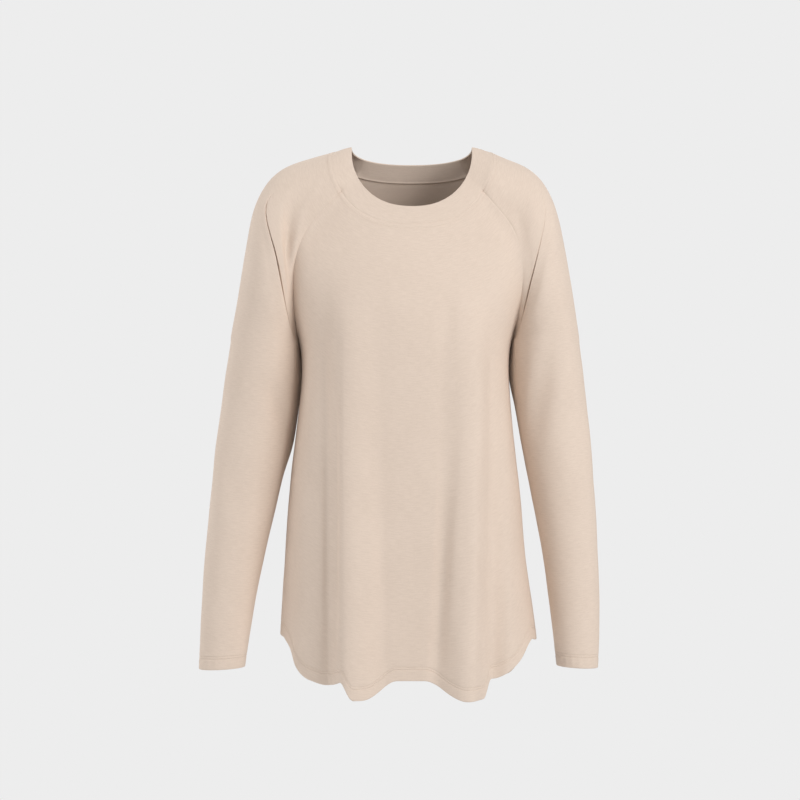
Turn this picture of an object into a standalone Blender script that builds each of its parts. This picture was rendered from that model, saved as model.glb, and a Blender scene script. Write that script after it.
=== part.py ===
"""Long-sleeve raglan top in soft jersey, hollow and in its worn shape.

The garment faces -Y, +Z is up and +X is the wearer's left. The origin lies in the middle of the neck
opening, level with the high points of the shoulders. All sizes are in metres.

The cloth is first laid out as one skin: a front and a back panel on a torso form, two sleeves that grow
out of the raglan seams, and a neckband. The skin is then parted along its seams, and each piece gets
its own wall.
"""

import math

import bpy
import numpy as np

# Cloth
CLOTH_WALL = 0.0016
BAND_WALL = 0.0024
TURNED_WALL = 0.0026
TURN_STEP = 0.0015
SEAM_GAP = 0.0003
SMOOTH_JOIN = 0.6

# Neck opening and the seam outside its band
NECK_CENTRE = 0.006
NECK_HALF_WIDTH = 0.084
NECK_TOP = 0.001
NECK_FRONT_DROP = 0.087
NECK_BACK_DROP = 0.019
NECK_FRONT_REACH = 0.064
NECK_BACK_REACH = 0.062
NECK_ROUNDNESS = 2.25
SHOULDER_SOFTNESS = 1.5
BAND_HALF_WIDTH = 0.110
BAND_TOP = -0.0065
BAND_FRONT_DROP = 0.1055
BAND_BACK_DROP = 0.0365
BAND_ROUNDNESS = 2.35
BAND_REACH = 0.070
BAND_RISE = 0.0012

# Body
UNDERARM = -0.270
UNDERARM_HALF_WIDTH = 0.149
SECTION_ROUNDNESS = 2.2
HEM_TURN = 0.017
SIDE_HEM = -0.679
FRONT_HEM = -0.7335
BACK_HEM = -0.745
TAIL_START = 0.25
TAIL_END = 0.68

# Sleeves
LEAN_END = 0.4
CUFF_TURN = 0.018
CUFF_TILT = 0.05


# Where folds and creases die out: parts of the way across a panel and a sleeve, and a length
SIDE_REST = 0.12
SEAM_REST = 0.10
CREASE_REST = 0.040

# Mesh density
FRONT_COLUMNS = 32
BACK_COLUMNS = 24
SLEEVE_COLUMNS = 22
BAND_ROWS = 2
YOKE_ROWS = 9
BODY_ROWS = 12
ARM_ROWS = 11


class Table:
    """A short table with named columns, read between its rows with a natural cubic spline."""

    def __init__(self, columns, rows):
        rows = sorted(rows)
        self.keys = np.array([row[0] for row in rows], dtype=float)
        self.values = {
            name: np.array([row[i] for row in rows], dtype=float)
            for i, name in enumerate(columns)
        }
        self.bends = {name: self._bend(values) for name, values in self.values.items()}

    def _bend(self, values):
        """Second derivatives of the spline at the rows, nought at both ends."""
        step = np.diff(self.keys)
        slope = np.diff(values) / step
        count = len(values)
        matrix = np.eye(count)
        right = np.zeros(count)
        for i in range(1, count - 1):
            matrix[i, i - 1:i + 2] = (step[i - 1], 2 * (step[i - 1] + step[i]), step[i])
            right[i] = 6 * (slope[i] - slope[i - 1])
        return np.linalg.solve(matrix, right)

    def at(self, name, key):
        """The column's value at a key, or at an array of keys."""
        key = np.clip(np.asarray(key, dtype=float), self.keys[0], self.keys[-1])
        low = np.clip(np.searchsorted(self.keys, key) - 1, 0, len(self.keys) - 2)
        step = self.keys[low + 1] - self.keys[low]
        above = (key - self.keys[low]) / step
        below = 1 - above
        values = self.values[name]
        bends = self.bends[name]
        return (
            below * values[low]
            + above * values[low + 1]
            + ((below**3 - below) * bends[low] + (above**3 - above) * bends[low + 1]) * step**2 / 6
        )


# Level sections of the torso form, from the hem up to the neck
TORSO = Table(
    ("height", "centre", "half_width", "front", "back", "fullness"),
    (
        (-0.780, 0.001, 0.183, 0.122, 0.116, 0.50),
        (-0.680, 0.001, 0.179, 0.121, 0.113, 0.50),
        (-0.580, -0.003, 0.169, 0.120, 0.109, 0.50),
        (-0.490, -0.004, 0.162, 0.119, 0.106, 0.50),
        (-0.400, -0.004, 0.152, 0.119, 0.104, 0.50),
        (-0.330, -0.003, 0.1455, 0.119, 0.103, 0.50),
        (UNDERARM, -0.003, UNDERARM_HALF_WIDTH, 0.118, 0.104, 0.50),
        (-0.240, -0.002, 0.160, 0.115, 0.104, 0.52),
        (-0.200, 0.000, 0.180, 0.108, 0.103, 0.58),
        (-0.150, 0.002, 0.210, 0.092, 0.099, 0.70),
        (-0.110, 0.004, 0.217, 0.077, 0.092, 0.85),
        (-0.065, 0.006, 0.207, 0.062, 0.080, 1.00),
        (-0.020, 0.006, 0.190, 0.046, 0.062, 1.05),
    ),
)

# Both raglan seams and the line over the arm, from the neck (0) to the underarm (1)
RAGLAN = Table(
    ("step", "front_x", "front_z", "back_x", "back_z", "over_left", "over_right", "over_z", "wrap"),
    (
        (0.00, 0.0976, -0.0645, 0.0780, -0.0350, 0.1105, 0.1095, -0.0065, 8),
        (0.20, 0.1190, -0.0880, 0.1010, -0.0600, 0.1370, 0.1430, -0.0165, 10),
        (0.40, 0.1400, -0.1140, 0.1250, -0.0920, 0.1740, 0.1790, -0.0330, 16),
        (0.60, 0.1540, -0.1480, 0.1450, -0.1360, 0.2010, 0.2080, -0.0700, 26),
        (0.80, 0.1580, -0.2000, 0.1550, -0.1940, 0.2190, 0.2250, -0.1360, 45),
        (0.92, 0.1535, -0.2470, 0.1530, -0.2450, 0.2310, 0.2365, -0.2050, 68),
        (1.00, UNDERARM_HALF_WIDTH, UNDERARM, UNDERARM_HALF_WIDTH, UNDERARM, 0.2400, 0.2470, -0.2640, 90),
    ),
)

# Level sections of each arm tube below the underarm, as distances from the middle of the body
ARM_COLUMNS = ("height", "inner", "outer", "forward", "half_depth")
ARMS = {
    "left": Table(
        ARM_COLUMNS,
        (
            (-0.724, 0.2070, 0.2645, 0.030, 0.0300),
            (-0.633, 0.1967, 0.2670, 0.020, 0.0355),
            (-0.577, 0.1895, 0.2658, 0.013, 0.0385),
            (-0.493, 0.1743, 0.2622, 0.004, 0.0435),
            (-0.409, 0.1583, 0.2548, -0.001, 0.0480),
            (-0.353, 0.1490, 0.2500, -0.002, 0.0515),
            (-0.310, 0.1455, 0.2452, -0.001, 0.0545),
            (UNDERARM, 0.1460, 0.2400, 0.000, 0.0580),
        ),
    ),
    "right": Table(
        ARM_COLUMNS,
        (
            (-0.724, 0.2255, 0.2895, 0.030, 0.0320),
            (-0.633, 0.2115, 0.2862, 0.020, 0.0370),
            (-0.577, 0.2005, 0.2832, 0.013, 0.0400),
            (-0.493, 0.1815, 0.2755, 0.004, 0.0450),
            (-0.409, 0.1640, 0.2667, -0.001, 0.0490),
            (-0.353, 0.1560, 0.2595, -0.002, 0.0520),
            (-0.310, 0.1520, 0.2535, -0.001, 0.0545),
            (UNDERARM, 0.1520, 0.2470, 0.000, 0.0580),
        ),
    ),
}
CUFF_HEIGHT = {"left": -0.7225, "right": -0.7245}
SIDE_SIGN = {"left": 1.0, "right": -1.0}
FACING = {"front": -1.0, "back": 1.0}

# Long folds of the body. x is the crest at the fold's top and at the hem, inner and outer are the
# widths of the flanks towards and away from the middle, crisp is how much of the outer flank stays
# high before it falls, and rise is the height at the hem (a trough is below nought).
FOLD_COLUMNS = ("panel", "top_z", "top_x", "hem_x", "inner", "outer", "crisp", "rise", "growth")
BODY_FOLDS = (
    ("front", -0.160, -0.082, -0.075, 0.048, 0.036, 0.00, 0.028, 0.6),
    ("front", -0.160, 0.087, 0.076, 0.040, 0.032, 0.00, 0.028, 0.6),
    ("front", -0.220, 0.004, 0.004, 0.060, 0.060, 0.00, -0.004, 0.8),
    ("front", -0.180, -0.114, -0.114, 0.018, 0.026, 0.00, -0.007, 0.6),
    ("front", -0.200, 0.123, 0.121, 0.020, 0.020, 0.00, -0.010, 0.7),
    ("back", -0.200, -0.082, -0.088, 0.050, 0.040, 0.10, 0.019, 1.0),
    ("back", -0.260, 0.004, 0.010, 0.045, 0.045, 0.00, 0.013, 1.1),
    ("back", -0.180, 0.078, 0.092, 0.050, 0.040, 0.10, 0.020, 1.0),
    ("back", -0.220, -0.040, -0.040, 0.035, 0.035, 0.00, -0.006, 0.9),
    ("back", -0.220, 0.048, 0.052, 0.035, 0.035, 0.00, -0.006, 0.9),
)

# Dips of the hem below its smooth curve, each with the widths of its flanks as for the folds
DIP_COLUMNS = ("panel", "hem_x", "inner", "outer", "crisp", "drop")
HEM_DIPS = (
    ("front", -0.057, 0.042, 0.027, 0.35, 0.0248),
    ("front", 0.072, 0.050, 0.046, 0.62, 0.0260),
    ("front", -0.113, 0.038, 0.032, 0.00, 0.0082),
    ("front", 0.146, 0.026, 0.028, 0.00, -0.0112),
    ("front", 0.180, 0.010, 0.010, 0.00, 0.0060),
    ("back", -0.088, 0.042, 0.034, 0.10, 0.012),
    ("back", 0.010, 0.038, 0.038, 0.00, 0.007),
    ("back", 0.092, 0.042, 0.034, 0.10, 0.013),
    ("back", 0.180, 0.010, 0.010, 0.00, 0.0060),
)

# Soft creases of the sleeves. angle runs from the inside of the arm (-90) over its front (0) to its
# outside (90) and back (180), at the crease's top and foot, and width is in degrees.
CREASE_COLUMNS = ("side", "top_z", "foot_z", "top_angle", "foot_angle", "width", "rise")
SLEEVE_CREASES = (
    ("left", -0.060, -0.285, 58, -78, 26, -0.0045),
    ("left", -0.215, -0.450, 18, -60, 34, -0.0035),
    ("left", -0.330, -0.560, 96, 20, 40, 0.0025),
    ("left", -0.075, -0.285, 126, 256, 28, -0.0040),
    ("left", -0.260, -0.480, 168, 236, 36, -0.0030),
    ("right", -0.070, -0.285, 52, -78, 26, -0.0050),
    ("right", -0.310, -0.420, -8, -66, 32, -0.0035),
    ("right", -0.360, -0.600, 84, 10, 40, 0.0025),
    ("right", -0.085, -0.285, 130, 256, 28, -0.0040),
    ("right", -0.280, -0.500, 166, 236, 36, -0.0030),
)

# Colours of the cloth, as linear red, green and blue
JERSEY = (0.72, 0.60, 0.50, 1.0)
BAND_JERSEY = (0.74, 0.62, 0.52, 1.0)


def ease(low, high, value):
    """A smooth step from 0 at low to 1 at high."""
    part = np.clip((value - low) / (high - low), 0, 1)
    return part * part * (3 - 2 * part)


def bump(part):
    """A smooth hump of height 1 at 0 that ends at -1 and at 1."""
    return 0.5 + 0.5 * np.cos(math.pi * np.clip(part, -1, 1))


def fold_profile(row, offset):
    """A fold's height across it: a soft flank towards the middle and a crisp one away from it."""
    outward = offset if row["hem_x"] > 0 else -offset
    soft = bump(outward / row["inner"])
    crisp = 1 - ease(row["crisp"], 1, outward / row["outer"])
    return np.where(outward < 0, soft, crisp)


def torso_depth(x, z, panel):
    """How far the torso form lies in front of or behind the side seams, with its sign."""
    reach = np.clip(np.abs(x - TORSO.at("centre", z)) / TORSO.at("half_width", z), 0, 1)
    depth = (1 - reach**SECTION_ROUNDNESS) ** TORSO.at("fullness", z)
    return FACING[panel] * TORSO.at(panel, z) * depth


def neck_seam_height(across, panel):
    """Height of the band's seam at a distance from the middle of the neck."""
    drop = BAND_FRONT_DROP if panel == "front" else BAND_BACK_DROP
    reach = np.clip(np.abs(across) / BAND_HALF_WIDTH, 0, 1)
    return BAND_TOP - drop * (1 - reach**BAND_ROUNDNESS) ** (1 / BAND_ROUNDNESS)


def column_reach(panel, columns):
    """Where a panel's columns run, as parts of the way from its middle to its side seams.

    The columns are evenly spaced along the cloth at the hem, so its folds get as many as they need.
    """
    samples = 1200
    reach = np.sin(np.linspace(-math.pi / 2, math.pi / 2, samples))
    z = np.full(samples, SIDE_HEM)
    x = TORSO.at("centre", z) + reach * TORSO.at("half_width", z)
    y = torso_depth(x, z, panel) + FACING[panel] * fold_rise(panel, x, z)
    length = np.concatenate(((0,), np.cumsum(np.hypot(np.diff(x), np.diff(y)))))
    reach = np.interp(np.linspace(0, length[-1], columns + 1), length, reach)
    reach[0], reach[-1] = -1, 1
    return reach


def hem_height(reach, across, panel):
    """Height of the shirt-tail hem, with the dips under its folds."""
    turned = np.sqrt(np.clip(1 - np.abs(reach) ** SECTION_ROUNDNESS, 0, 1))
    lowest = FRONT_HEM if panel == "front" else BACK_HEM
    height = SIDE_HEM + (lowest - SIDE_HEM) * ease(TAIL_START, TAIL_END, turned)
    for dip in HEM_DIPS:
        row = dict(zip(DIP_COLUMNS, dip))
        if row["panel"] == panel:
            height = height - row["drop"] * fold_profile(row, across - row["hem_x"])
    return height


def panel_grid(panel):
    """Rows of points on the front or back panel, from the neck seam to the hem, from -X to +X."""
    columns = FRONT_COLUMNS if panel == "front" else BACK_COLUMNS
    reach = column_reach(panel, columns)
    seam_x = RAGLAN.at(panel + "_x", 0)
    edge_z = neck_seam_height(seam_x, panel)
    middle_z = neck_seam_height(0, panel)
    rows = []
    for step in np.linspace(0, 1, YOKE_ROWS + 1):
        seam_x = RAGLAN.at(panel + "_x", step)
        seam_z = RAGLAN.at(panel + "_z", step)
        first_x = reach * RAGLAN.at(panel + "_x", 0)
        sag_shape = (neck_seam_height(first_x, panel) - edge_z) / (middle_z - edge_z)
        sag = (middle_z - edge_z) * (1 - ease(0, 1, step))
        x = TORSO.at("centre", seam_z) + reach * seam_x
        z = seam_z + sag * sag_shape
        rows.append(np.stack((x, torso_depth(x, z, panel), z), axis=1))
    hem_x = TORSO.at("centre", SIDE_HEM) + reach * TORSO.at("half_width", SIDE_HEM)
    hem_z = hem_height(reach, hem_x, panel)
    body_end = hem_z + HEM_TURN + TURN_STEP
    levels = [UNDERARM + (body_end - UNDERARM) * part for part in np.linspace(0, 1, BODY_ROWS + 1)[1:]]
    levels += [hem_z + HEM_TURN, hem_z]
    for z in levels:
        x = TORSO.at("centre", z) + reach * TORSO.at("half_width", z)
        rows.append(np.stack((x, torso_depth(x, z, panel), z), axis=1))
    return np.array(rows)


def seam_point(panel, step, sign):
    """A point of a raglan seam on the torso form."""
    z = RAGLAN.at(panel + "_z", step)
    x = TORSO.at("centre", z) + sign * RAGLAN.at(panel + "_x", step)
    return np.array((x, torso_depth(x, z, panel), z))


def over_point(side, step):
    """A point of the line over the shoulder and the outside of the arm."""
    lean = NECK_CENTRE * (1 - ease(0, LEAN_END, step))
    sign = SIDE_SIGN[side]
    return np.array((lean + sign * RAGLAN.at("over_" + side, step), 0, RAGLAN.at("over_z", step)))


def sleeve_grid(side):
    """Rows of points on a sleeve, from the neck seam to the cuff, from its front seam round to its back.

    Each row above the underarm is the part of an ellipse between the two raglan seams. At the underarm
    the seams meet, and the rows become closed rings whose last point repeats the first. The second
    grid says how far the creases move each point.
    """
    arm = ARMS[side]
    sign = SIDE_SIGN[side]
    turns = np.linspace(0, 1, SLEEVE_COLUMNS + 1)
    rows = []
    rises = []
    for step in np.linspace(0, 1, YOKE_ROWS + 1):
        front = seam_point("front", step, sign)
        back = seam_point("back", step, sign)
        start = -math.radians(RAGLAN.at("wrap", step))
        angle = start + (math.pi - 2 * start) * turns
        middle = (front + back) / 2
        height = over_point(side, step) - middle
        if step < 1:
            width = (front - back) / (2 * math.cos(start))
        else:
            width = np.array((0, -arm.at("half_depth", UNDERARM), 0))
        lift = (np.sin(angle) - math.sin(start)) / (1 - math.sin(start))
        rows.append(middle + np.outer(np.cos(angle), width) + np.outer(lift, height))
        from_seam = np.minimum(turns, 1 - turns) / SEAM_REST
        rises.append(crease_rise(side, rows[-1][:, 2], angle) * ease(0, 1, from_seam))
    angle = -math.pi / 2 + 2 * math.pi * turns
    cuff = CUFF_HEIGHT[side]
    arm_end = cuff + CUFF_TURN + TURN_STEP
    levels = list(np.linspace(UNDERARM, arm_end, ARM_ROWS + 1)[1:]) + [cuff + CUFF_TURN, cuff]
    for level in levels:
        middle = (arm.at("outer", level) + arm.at("inner", level)) / 2
        half = (arm.at("outer", level) - arm.at("inner", level)) / 2
        x = sign * (middle + half * np.sin(angle))
        y = -arm.at("forward", level) - arm.at("half_depth", level) * np.cos(angle)
        tilt = CUFF_TILT * ease(UNDERARM, cuff, level) * half * np.sin(angle)
        rows.append(np.stack((x, y, level - tilt), axis=1))
        from_underarm = ease(UNDERARM, UNDERARM - CREASE_REST, level)
        rest = from_underarm + (1 - from_underarm) * ease(0, 1, np.minimum(turns, 1 - turns) / SEAM_REST)
        rises.append(crease_rise(side, rows[-1][:, 2], angle) * rest)
    return np.array(rows), np.array(rises)


def band_grid(front, back, left, right):
    """Rings of points on the neckband, from its seam to the neckline, anticlockwise from above."""
    seam = np.concatenate((front[0][:-1], left[0][:-1], back[0][::-1][:-1], right[0][::-1]))
    across = (seam[:, 0] - NECK_CENTRE) / BAND_HALF_WIDTH
    turn = np.arctan2(across, -seam[:, 1] / BAND_REACH)
    level = np.abs(np.cos(turn)) ** SHOULDER_SOFTNESS
    spread = (1 - np.clip(level, 0, 1) ** NECK_ROUNDNESS) ** (1 / NECK_ROUNDNESS)
    forward = np.cos(turn) > 0
    x = NECK_CENTRE + np.sign(np.sin(turn)) * NECK_HALF_WIDTH * spread
    y = -np.cos(turn) * np.where(forward, NECK_FRONT_REACH, NECK_BACK_REACH)
    z = NECK_TOP - level * np.where(forward, NECK_FRONT_DROP, NECK_BACK_DROP)
    neckline = np.stack((x, y, z), axis=1)
    rings = []
    for part in np.linspace(0, 1, BAND_ROWS + 1):
        ring = seam + (neckline - seam) * part
        ring[:, 2] += BAND_RISE * 4 * part * (1 - part)
        rings.append(ring)
    return np.array(rings)


def grid_mesh(grid, rises, turned_rows, base_wall, turned_wall, flipped):
    """Welded points, quads, walls and rises of a grid whose last rows are a turned edge."""
    rows, columns = grid.shape[:2]
    points = grid.reshape(-1, 3)
    walls = np.full((rows, columns), base_wall)
    if turned_rows:
        walls[-turned_rows:] = turned_wall
    keys = np.round(points * 1e6).astype(np.int64)
    _, first, same = np.unique(keys, axis=0, return_index=True, return_inverse=True)
    index = same.reshape(rows, columns)
    quads = np.stack((index[:-1, :-1], index[1:, :-1], index[1:, 1:], index[:-1, 1:]), axis=-1)
    quads = quads.reshape(-1, 4)
    if flipped:
        quads = quads[:, ::-1]
    return {
        "points": points[first],
        "quads": quads,
        "walls": walls.reshape(-1)[first],
        "rises": np.broadcast_to(rises, (rows, columns)).reshape(-1)[first],
    }


def point_normals(piece):
    """Outward directions of a piece's points."""
    points = piece["points"]
    corners = points[piece["quads"]]
    faces = np.cross(corners[:, 2] - corners[:, 0], corners[:, 3] - corners[:, 1])
    normals = np.zeros_like(points)
    for corner in range(4):
        np.add.at(normals, piece["quads"][:, corner], faces)
    return normals / np.linalg.norm(normals, axis=1, keepdims=True)


def point_keys(piece):
    """A key for each point that is the same on every piece sewn together there."""
    return [tuple(key) for key in np.round(piece["points"] * 1e6).astype(np.int64)]


def shared_normals(pieces):
    """Normals of all pieces, one direction where they join smoothly, and which points are sewn."""
    own = {name: point_normals(piece) for name, piece in pieces.items()}
    keys = {name: point_keys(piece) for name, piece in pieces.items()}
    meeting = {}
    for name in pieces:
        for key, normal in zip(keys[name], own[name]):
            meeting.setdefault(key, []).append(normal)
    normals = {}
    sewn = {}
    for name in pieces:
        sewn[name] = np.array([len(meeting[key]) > 1 for key in keys[name]])
        normals[name] = own[name].copy()
        for index in np.flatnonzero(sewn[name]):
            mine = own[name][index]
            alike = sum(other for other in meeting[keys[name][index]] if other @ mine > SMOOTH_JOIN)
            normals[name][index] = alike / np.linalg.norm(alike)
    return normals, sewn


def fold_rise(panel, x, z):
    """How far the long folds push a panel's points out of the torso form."""
    rise = np.zeros(x.shape)
    for fold in BODY_FOLDS:
        row = dict(zip(FOLD_COLUMNS, fold))
        if row["panel"] == panel:
            down = np.clip((row["top_z"] - z) / (row["top_z"] - FRONT_HEM), 0, 1.1)
            crest = row["top_x"] + (row["hem_x"] - row["top_x"]) * down
            strength = ease(0, 0.25, down) * down ** row["growth"]
            rise += row["rise"] * strength * fold_profile(row, x - crest)
    reach = np.abs(x - TORSO.at("centre", z)) / TORSO.at("half_width", z)
    return rise * ease(0, SIDE_REST, 1 - reach)


def crease_rise(side, z, angle):
    """How far the soft creases push the points of a sleeve's row out or in."""
    angle = np.degrees(angle)
    rise = np.zeros(len(angle))
    for crease in SLEEVE_CREASES:
        row = dict(zip(CREASE_COLUMNS, crease))
        if row["side"] == side:
            down = (row["top_z"] - z) / (row["top_z"] - row["foot_z"])
            course = row["top_angle"] + (row["foot_angle"] - row["top_angle"]) * down
            away = (angle - course + 180) % 360 - 180
            along = bump(2 * np.clip(down, 0, 1) - 1)
            rise += row["rise"] * along * bump(away / row["width"])
    return rise


def pull_back(piece, normals, sewn):
    """Draw the sewn edge points of a piece back by half the seam gap, along the cloth."""
    points = piece["points"]
    quads = piece["quads"]
    towards = np.zeros_like(points)
    for corner in range(4):
        centre = points[quads].mean(axis=1)
        np.add.at(towards, quads[:, corner], centre - points[quads[:, corner]])
    along = edge_directions(piece)
    for direction in (normals, along):
        towards -= direction * np.sum(towards * direction, axis=1, keepdims=True)
    towards /= np.maximum(np.linalg.norm(towards, axis=1, keepdims=True), 1e-12)
    return points + np.where(sewn[:, None], towards * SEAM_GAP / 2, 0)


def open_edges(piece):
    """Directed edges that only one quad of the piece has."""
    sides = set()
    for quad in piece["quads"]:
        for start, end in zip(quad, np.roll(quad, -1)):
            sides.add((int(start), int(end)))
    return [(start, end) for start, end in sorted(sides) if (end, start) not in sides]


def edge_directions(piece):
    """The direction of the open edge at each of its points, and nought elsewhere."""
    points = piece["points"]
    directions = np.zeros_like(points)
    for start, end in open_edges(piece):
        run = points[end] - points[start]
        run /= max(np.linalg.norm(run), 1e-12)
        directions[start] += run
        directions[end] += run
    return directions / np.maximum(np.linalg.norm(directions, axis=1, keepdims=True), 1e-12)


def split_quads(piece):
    """Two triangles for each quad, split along its shorter diagonal, so both skins bend alike."""
    faces = []
    for a, b, c, d in piece["quads"].tolist():
        corners = piece["points"][[a, b, c, d]]
        if np.linalg.norm(corners[2] - corners[0]) < np.linalg.norm(corners[3] - corners[1]):
            faces += [(a, b, c), (a, c, d)]
        else:
            faces += [(a, b, d), (b, c, d)]
    return faces


def cloth_material(name, colour):
    """Plain soft jersey."""
    material = bpy.data.materials.new(name)
    material.use_nodes = True
    shader = material.node_tree.nodes["Principled BSDF"]
    shader.inputs["Base Color"].default_value = colour
    shader.inputs["Roughness"].default_value = 0.9
    shader.inputs["Metallic"].default_value = 0.0
    return material


def cloth_object(name, piece, normals, sewn, material):
    """A closed wall of cloth: the outer skin, its inner copy and the rims that join them."""
    outer = pull_back(piece, normals, sewn)
    inner = outer - normals * piece["walls"][:, None]
    count = len(outer)
    skin = split_quads(piece)
    faces = [tuple(face) for face in skin]
    faces += [tuple(index + count for index in reversed(face)) for face in skin]
    faces += [(end, start, start + count, end + count) for start, end in open_edges(piece)]
    mesh = bpy.data.meshes.new(name)
    mesh.from_pydata([tuple(p) for p in np.vstack((outer, inner))], [], faces)
    mesh.validate()
    mesh.materials.append(material)
    mesh.shade_smooth()
    mesh.set_sharp_from_angle(angle=math.radians(50))
    thing = bpy.data.objects.new(name, mesh)
    bpy.context.collection.objects.link(thing)
    return thing


def cut_pieces():
    """The five cut pieces as open skins in the worn shape."""
    front = panel_grid("front")
    back = panel_grid("back")
    left, left_rises = sleeve_grid("left")
    right, right_rises = sleeve_grid("right")
    band = band_grid(front, back, left, right)
    front_rises = fold_rise("front", front[..., 0], front[..., 2])
    back_rises = fold_rise("back", back[..., 0], back[..., 2])
    return {
        "front_panel": grid_mesh(front, front_rises, 2, CLOTH_WALL, TURNED_WALL, False),
        "back_panel": grid_mesh(back, back_rises, 2, CLOTH_WALL, TURNED_WALL, True),
        "sleeve_left": grid_mesh(left, left_rises, 2, CLOTH_WALL, TURNED_WALL, False),
        "sleeve_right": grid_mesh(right, right_rises, 2, CLOTH_WALL, TURNED_WALL, True),
        "neckband": grid_mesh(band, 0, 0, BAND_WALL, BAND_WALL, True),
    }


def drape(pieces):
    """Push the folds and creases out of the smooth forms."""
    normals, _ = shared_normals(pieces)
    for name, piece in pieces.items():
        piece["points"] = piece["points"] + normals[name] * piece["rises"][:, None]


def main():
    for thing in list(bpy.data.objects):
        bpy.data.objects.remove(thing)
    jersey = cloth_material("jersey", JERSEY)
    band_jersey = cloth_material("band_jersey", BAND_JERSEY)
    pieces = cut_pieces()
    drape(pieces)
    normals, sewn = shared_normals(pieces)
    for name, piece in pieces.items():
        material = band_jersey if name == "neckband" else jersey
        cloth_object(name, piece, normals[name], sewn[name], material)


main()
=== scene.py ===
"""Looks of the long-sleeve raglan top: its sewn jersey shells, their stitching and the studio.

The garment faces -Y, +Z is up and +X is the wearer's left, as in the frame. All sizes are in metres.

Each shell repeats the form of the solid that it replaces, from the same tables, on a much finer grid.
On that come the soft creases, the sunken seams, the turned and rounded edges and the stitches.
"""

import math

import bpy
import numpy as np
from bpy.props import FloatProperty, FloatVectorProperty, PointerProperty
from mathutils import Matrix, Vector


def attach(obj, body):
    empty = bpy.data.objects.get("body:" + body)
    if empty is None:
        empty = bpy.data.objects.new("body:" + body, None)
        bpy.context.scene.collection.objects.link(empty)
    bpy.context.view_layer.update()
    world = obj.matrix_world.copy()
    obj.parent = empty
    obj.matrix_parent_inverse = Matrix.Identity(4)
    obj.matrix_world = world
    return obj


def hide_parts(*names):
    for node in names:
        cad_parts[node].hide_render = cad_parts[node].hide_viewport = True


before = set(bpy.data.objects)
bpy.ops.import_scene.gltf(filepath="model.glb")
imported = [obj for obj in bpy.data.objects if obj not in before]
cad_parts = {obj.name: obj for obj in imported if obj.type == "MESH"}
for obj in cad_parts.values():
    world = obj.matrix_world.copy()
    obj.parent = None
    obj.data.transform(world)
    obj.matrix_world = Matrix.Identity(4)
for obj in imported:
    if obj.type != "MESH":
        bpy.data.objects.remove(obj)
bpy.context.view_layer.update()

bl_info = {
    "name": "Raglan Top",
    "version": (1, 0, 0),
    "blender": (4, 5, 0),
    "location": "View3D > Sidebar > Raglan Top",
    "description": "Makes a long-sleeve jersey top with raglan sleeves around its packed frame",
    "category": "Object",
}

# Neck opening and the seam outside its band
NECK_CENTRE = 0.006
NECK_HALF_WIDTH = 0.084
NECK_TOP = 0.001
NECK_FRONT_DROP = 0.087
NECK_BACK_DROP = 0.019
NECK_FRONT_REACH = 0.064
NECK_BACK_REACH = 0.062
NECK_ROUNDNESS = 2.25
SHOULDER_SOFTNESS = 1.5
BAND_HALF_WIDTH = 0.110
BAND_TOP = -0.0065
BAND_FRONT_DROP = 0.1055
BAND_BACK_DROP = 0.0365
BAND_ROUNDNESS = 2.35
BAND_REACH = 0.070
BAND_RISE = 0.0012

# Corners of the band's seam, where the raglan seams meet it: how far along the seam they are evened,
# up to which part of the band's height that grows, and how near a corner the seam's points are left out
CORNER_REACH = 0.034
CORNER_FADE = 0.22
CORNER_GAP = 0.00025

# Body and sleeves
UNDERARM = -0.270
UNDERARM_HALF_WIDTH = 0.149
SECTION_ROUNDNESS = 2.2
SIDE_HEM = -0.679
FRONT_HEM = -0.7335
BACK_HEM = -0.745
TAIL_START = 0.25
TAIL_END = 0.68
LEAN_END = 0.4
WRAP_END = 0.889
CUFF_TILT = 0.05

# Where folds and creases begin and end: parts of a fold's drop, parts of the way across a panel and
# round a sleeve, and a length below the underarm
FOLD_START = 0.25
FOLD_END = 1.1
SIDE_REST = 0.12
SEAM_REST = 0.06
CREASE_REST = 0.040

# Outward directions that meet at a seam are shared, unless their product is below this
SMOOTH_JOIN = -0.75

# Sewing: sizes in the cloth beside a seam, and the lines of stitches measured from their edge
SEAM_DEPTH = 0.0005
SEAM_REACH = 0.0022
ALLOWANCE_RISE = 0.0003
ALLOWANCE_WIDTH = 0.0075
GROOVE_DEPTH = 0.0005
GROOVE_REACH = 0.0014
NECK_LINE = 0.0060
RAGLAN_DEPTH = 0.0005
RAGLAN_FADE = (0.35, 0.60)
HEM_LINES = (0.0155, 0.0187)
CUFF_LINES = (0.0150, 0.0182)
LINE_FADE = 0.001
EDGE_TUCK = 0.92
STITCH_SIDES = 5

# Puckers along the turned edges, with the height of their middle and where they end beside a seam
PUCKER_LENGTH = 0.0095
PUCKER_HEIGHT = 0.00022
PUCKER_DRIFT = 0.35
DRIFT_LENGTH = 0.021
PUCKER_PLACE = 0.010
PUCKER_REACH = 0.011
PUCKER_END = 0.012

# Armholes: how far from each seam its valley is filled and its outward directions are evened, and the
# crisp fold beside it
LIFT_REACH = 0.018
SETTLE_REACH = 0.003
FOLD_PLACE = 0.12
FOLD_REACH = 0.0021
ROLL_SHARE = 0.28
ROLL_REACH = 0.026

# Mesh: points that round to the same micrometre are welded, and edges steeper than this are sharp
MICROMETRES = 1e6
SHARP_DEGREES = 60

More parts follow.
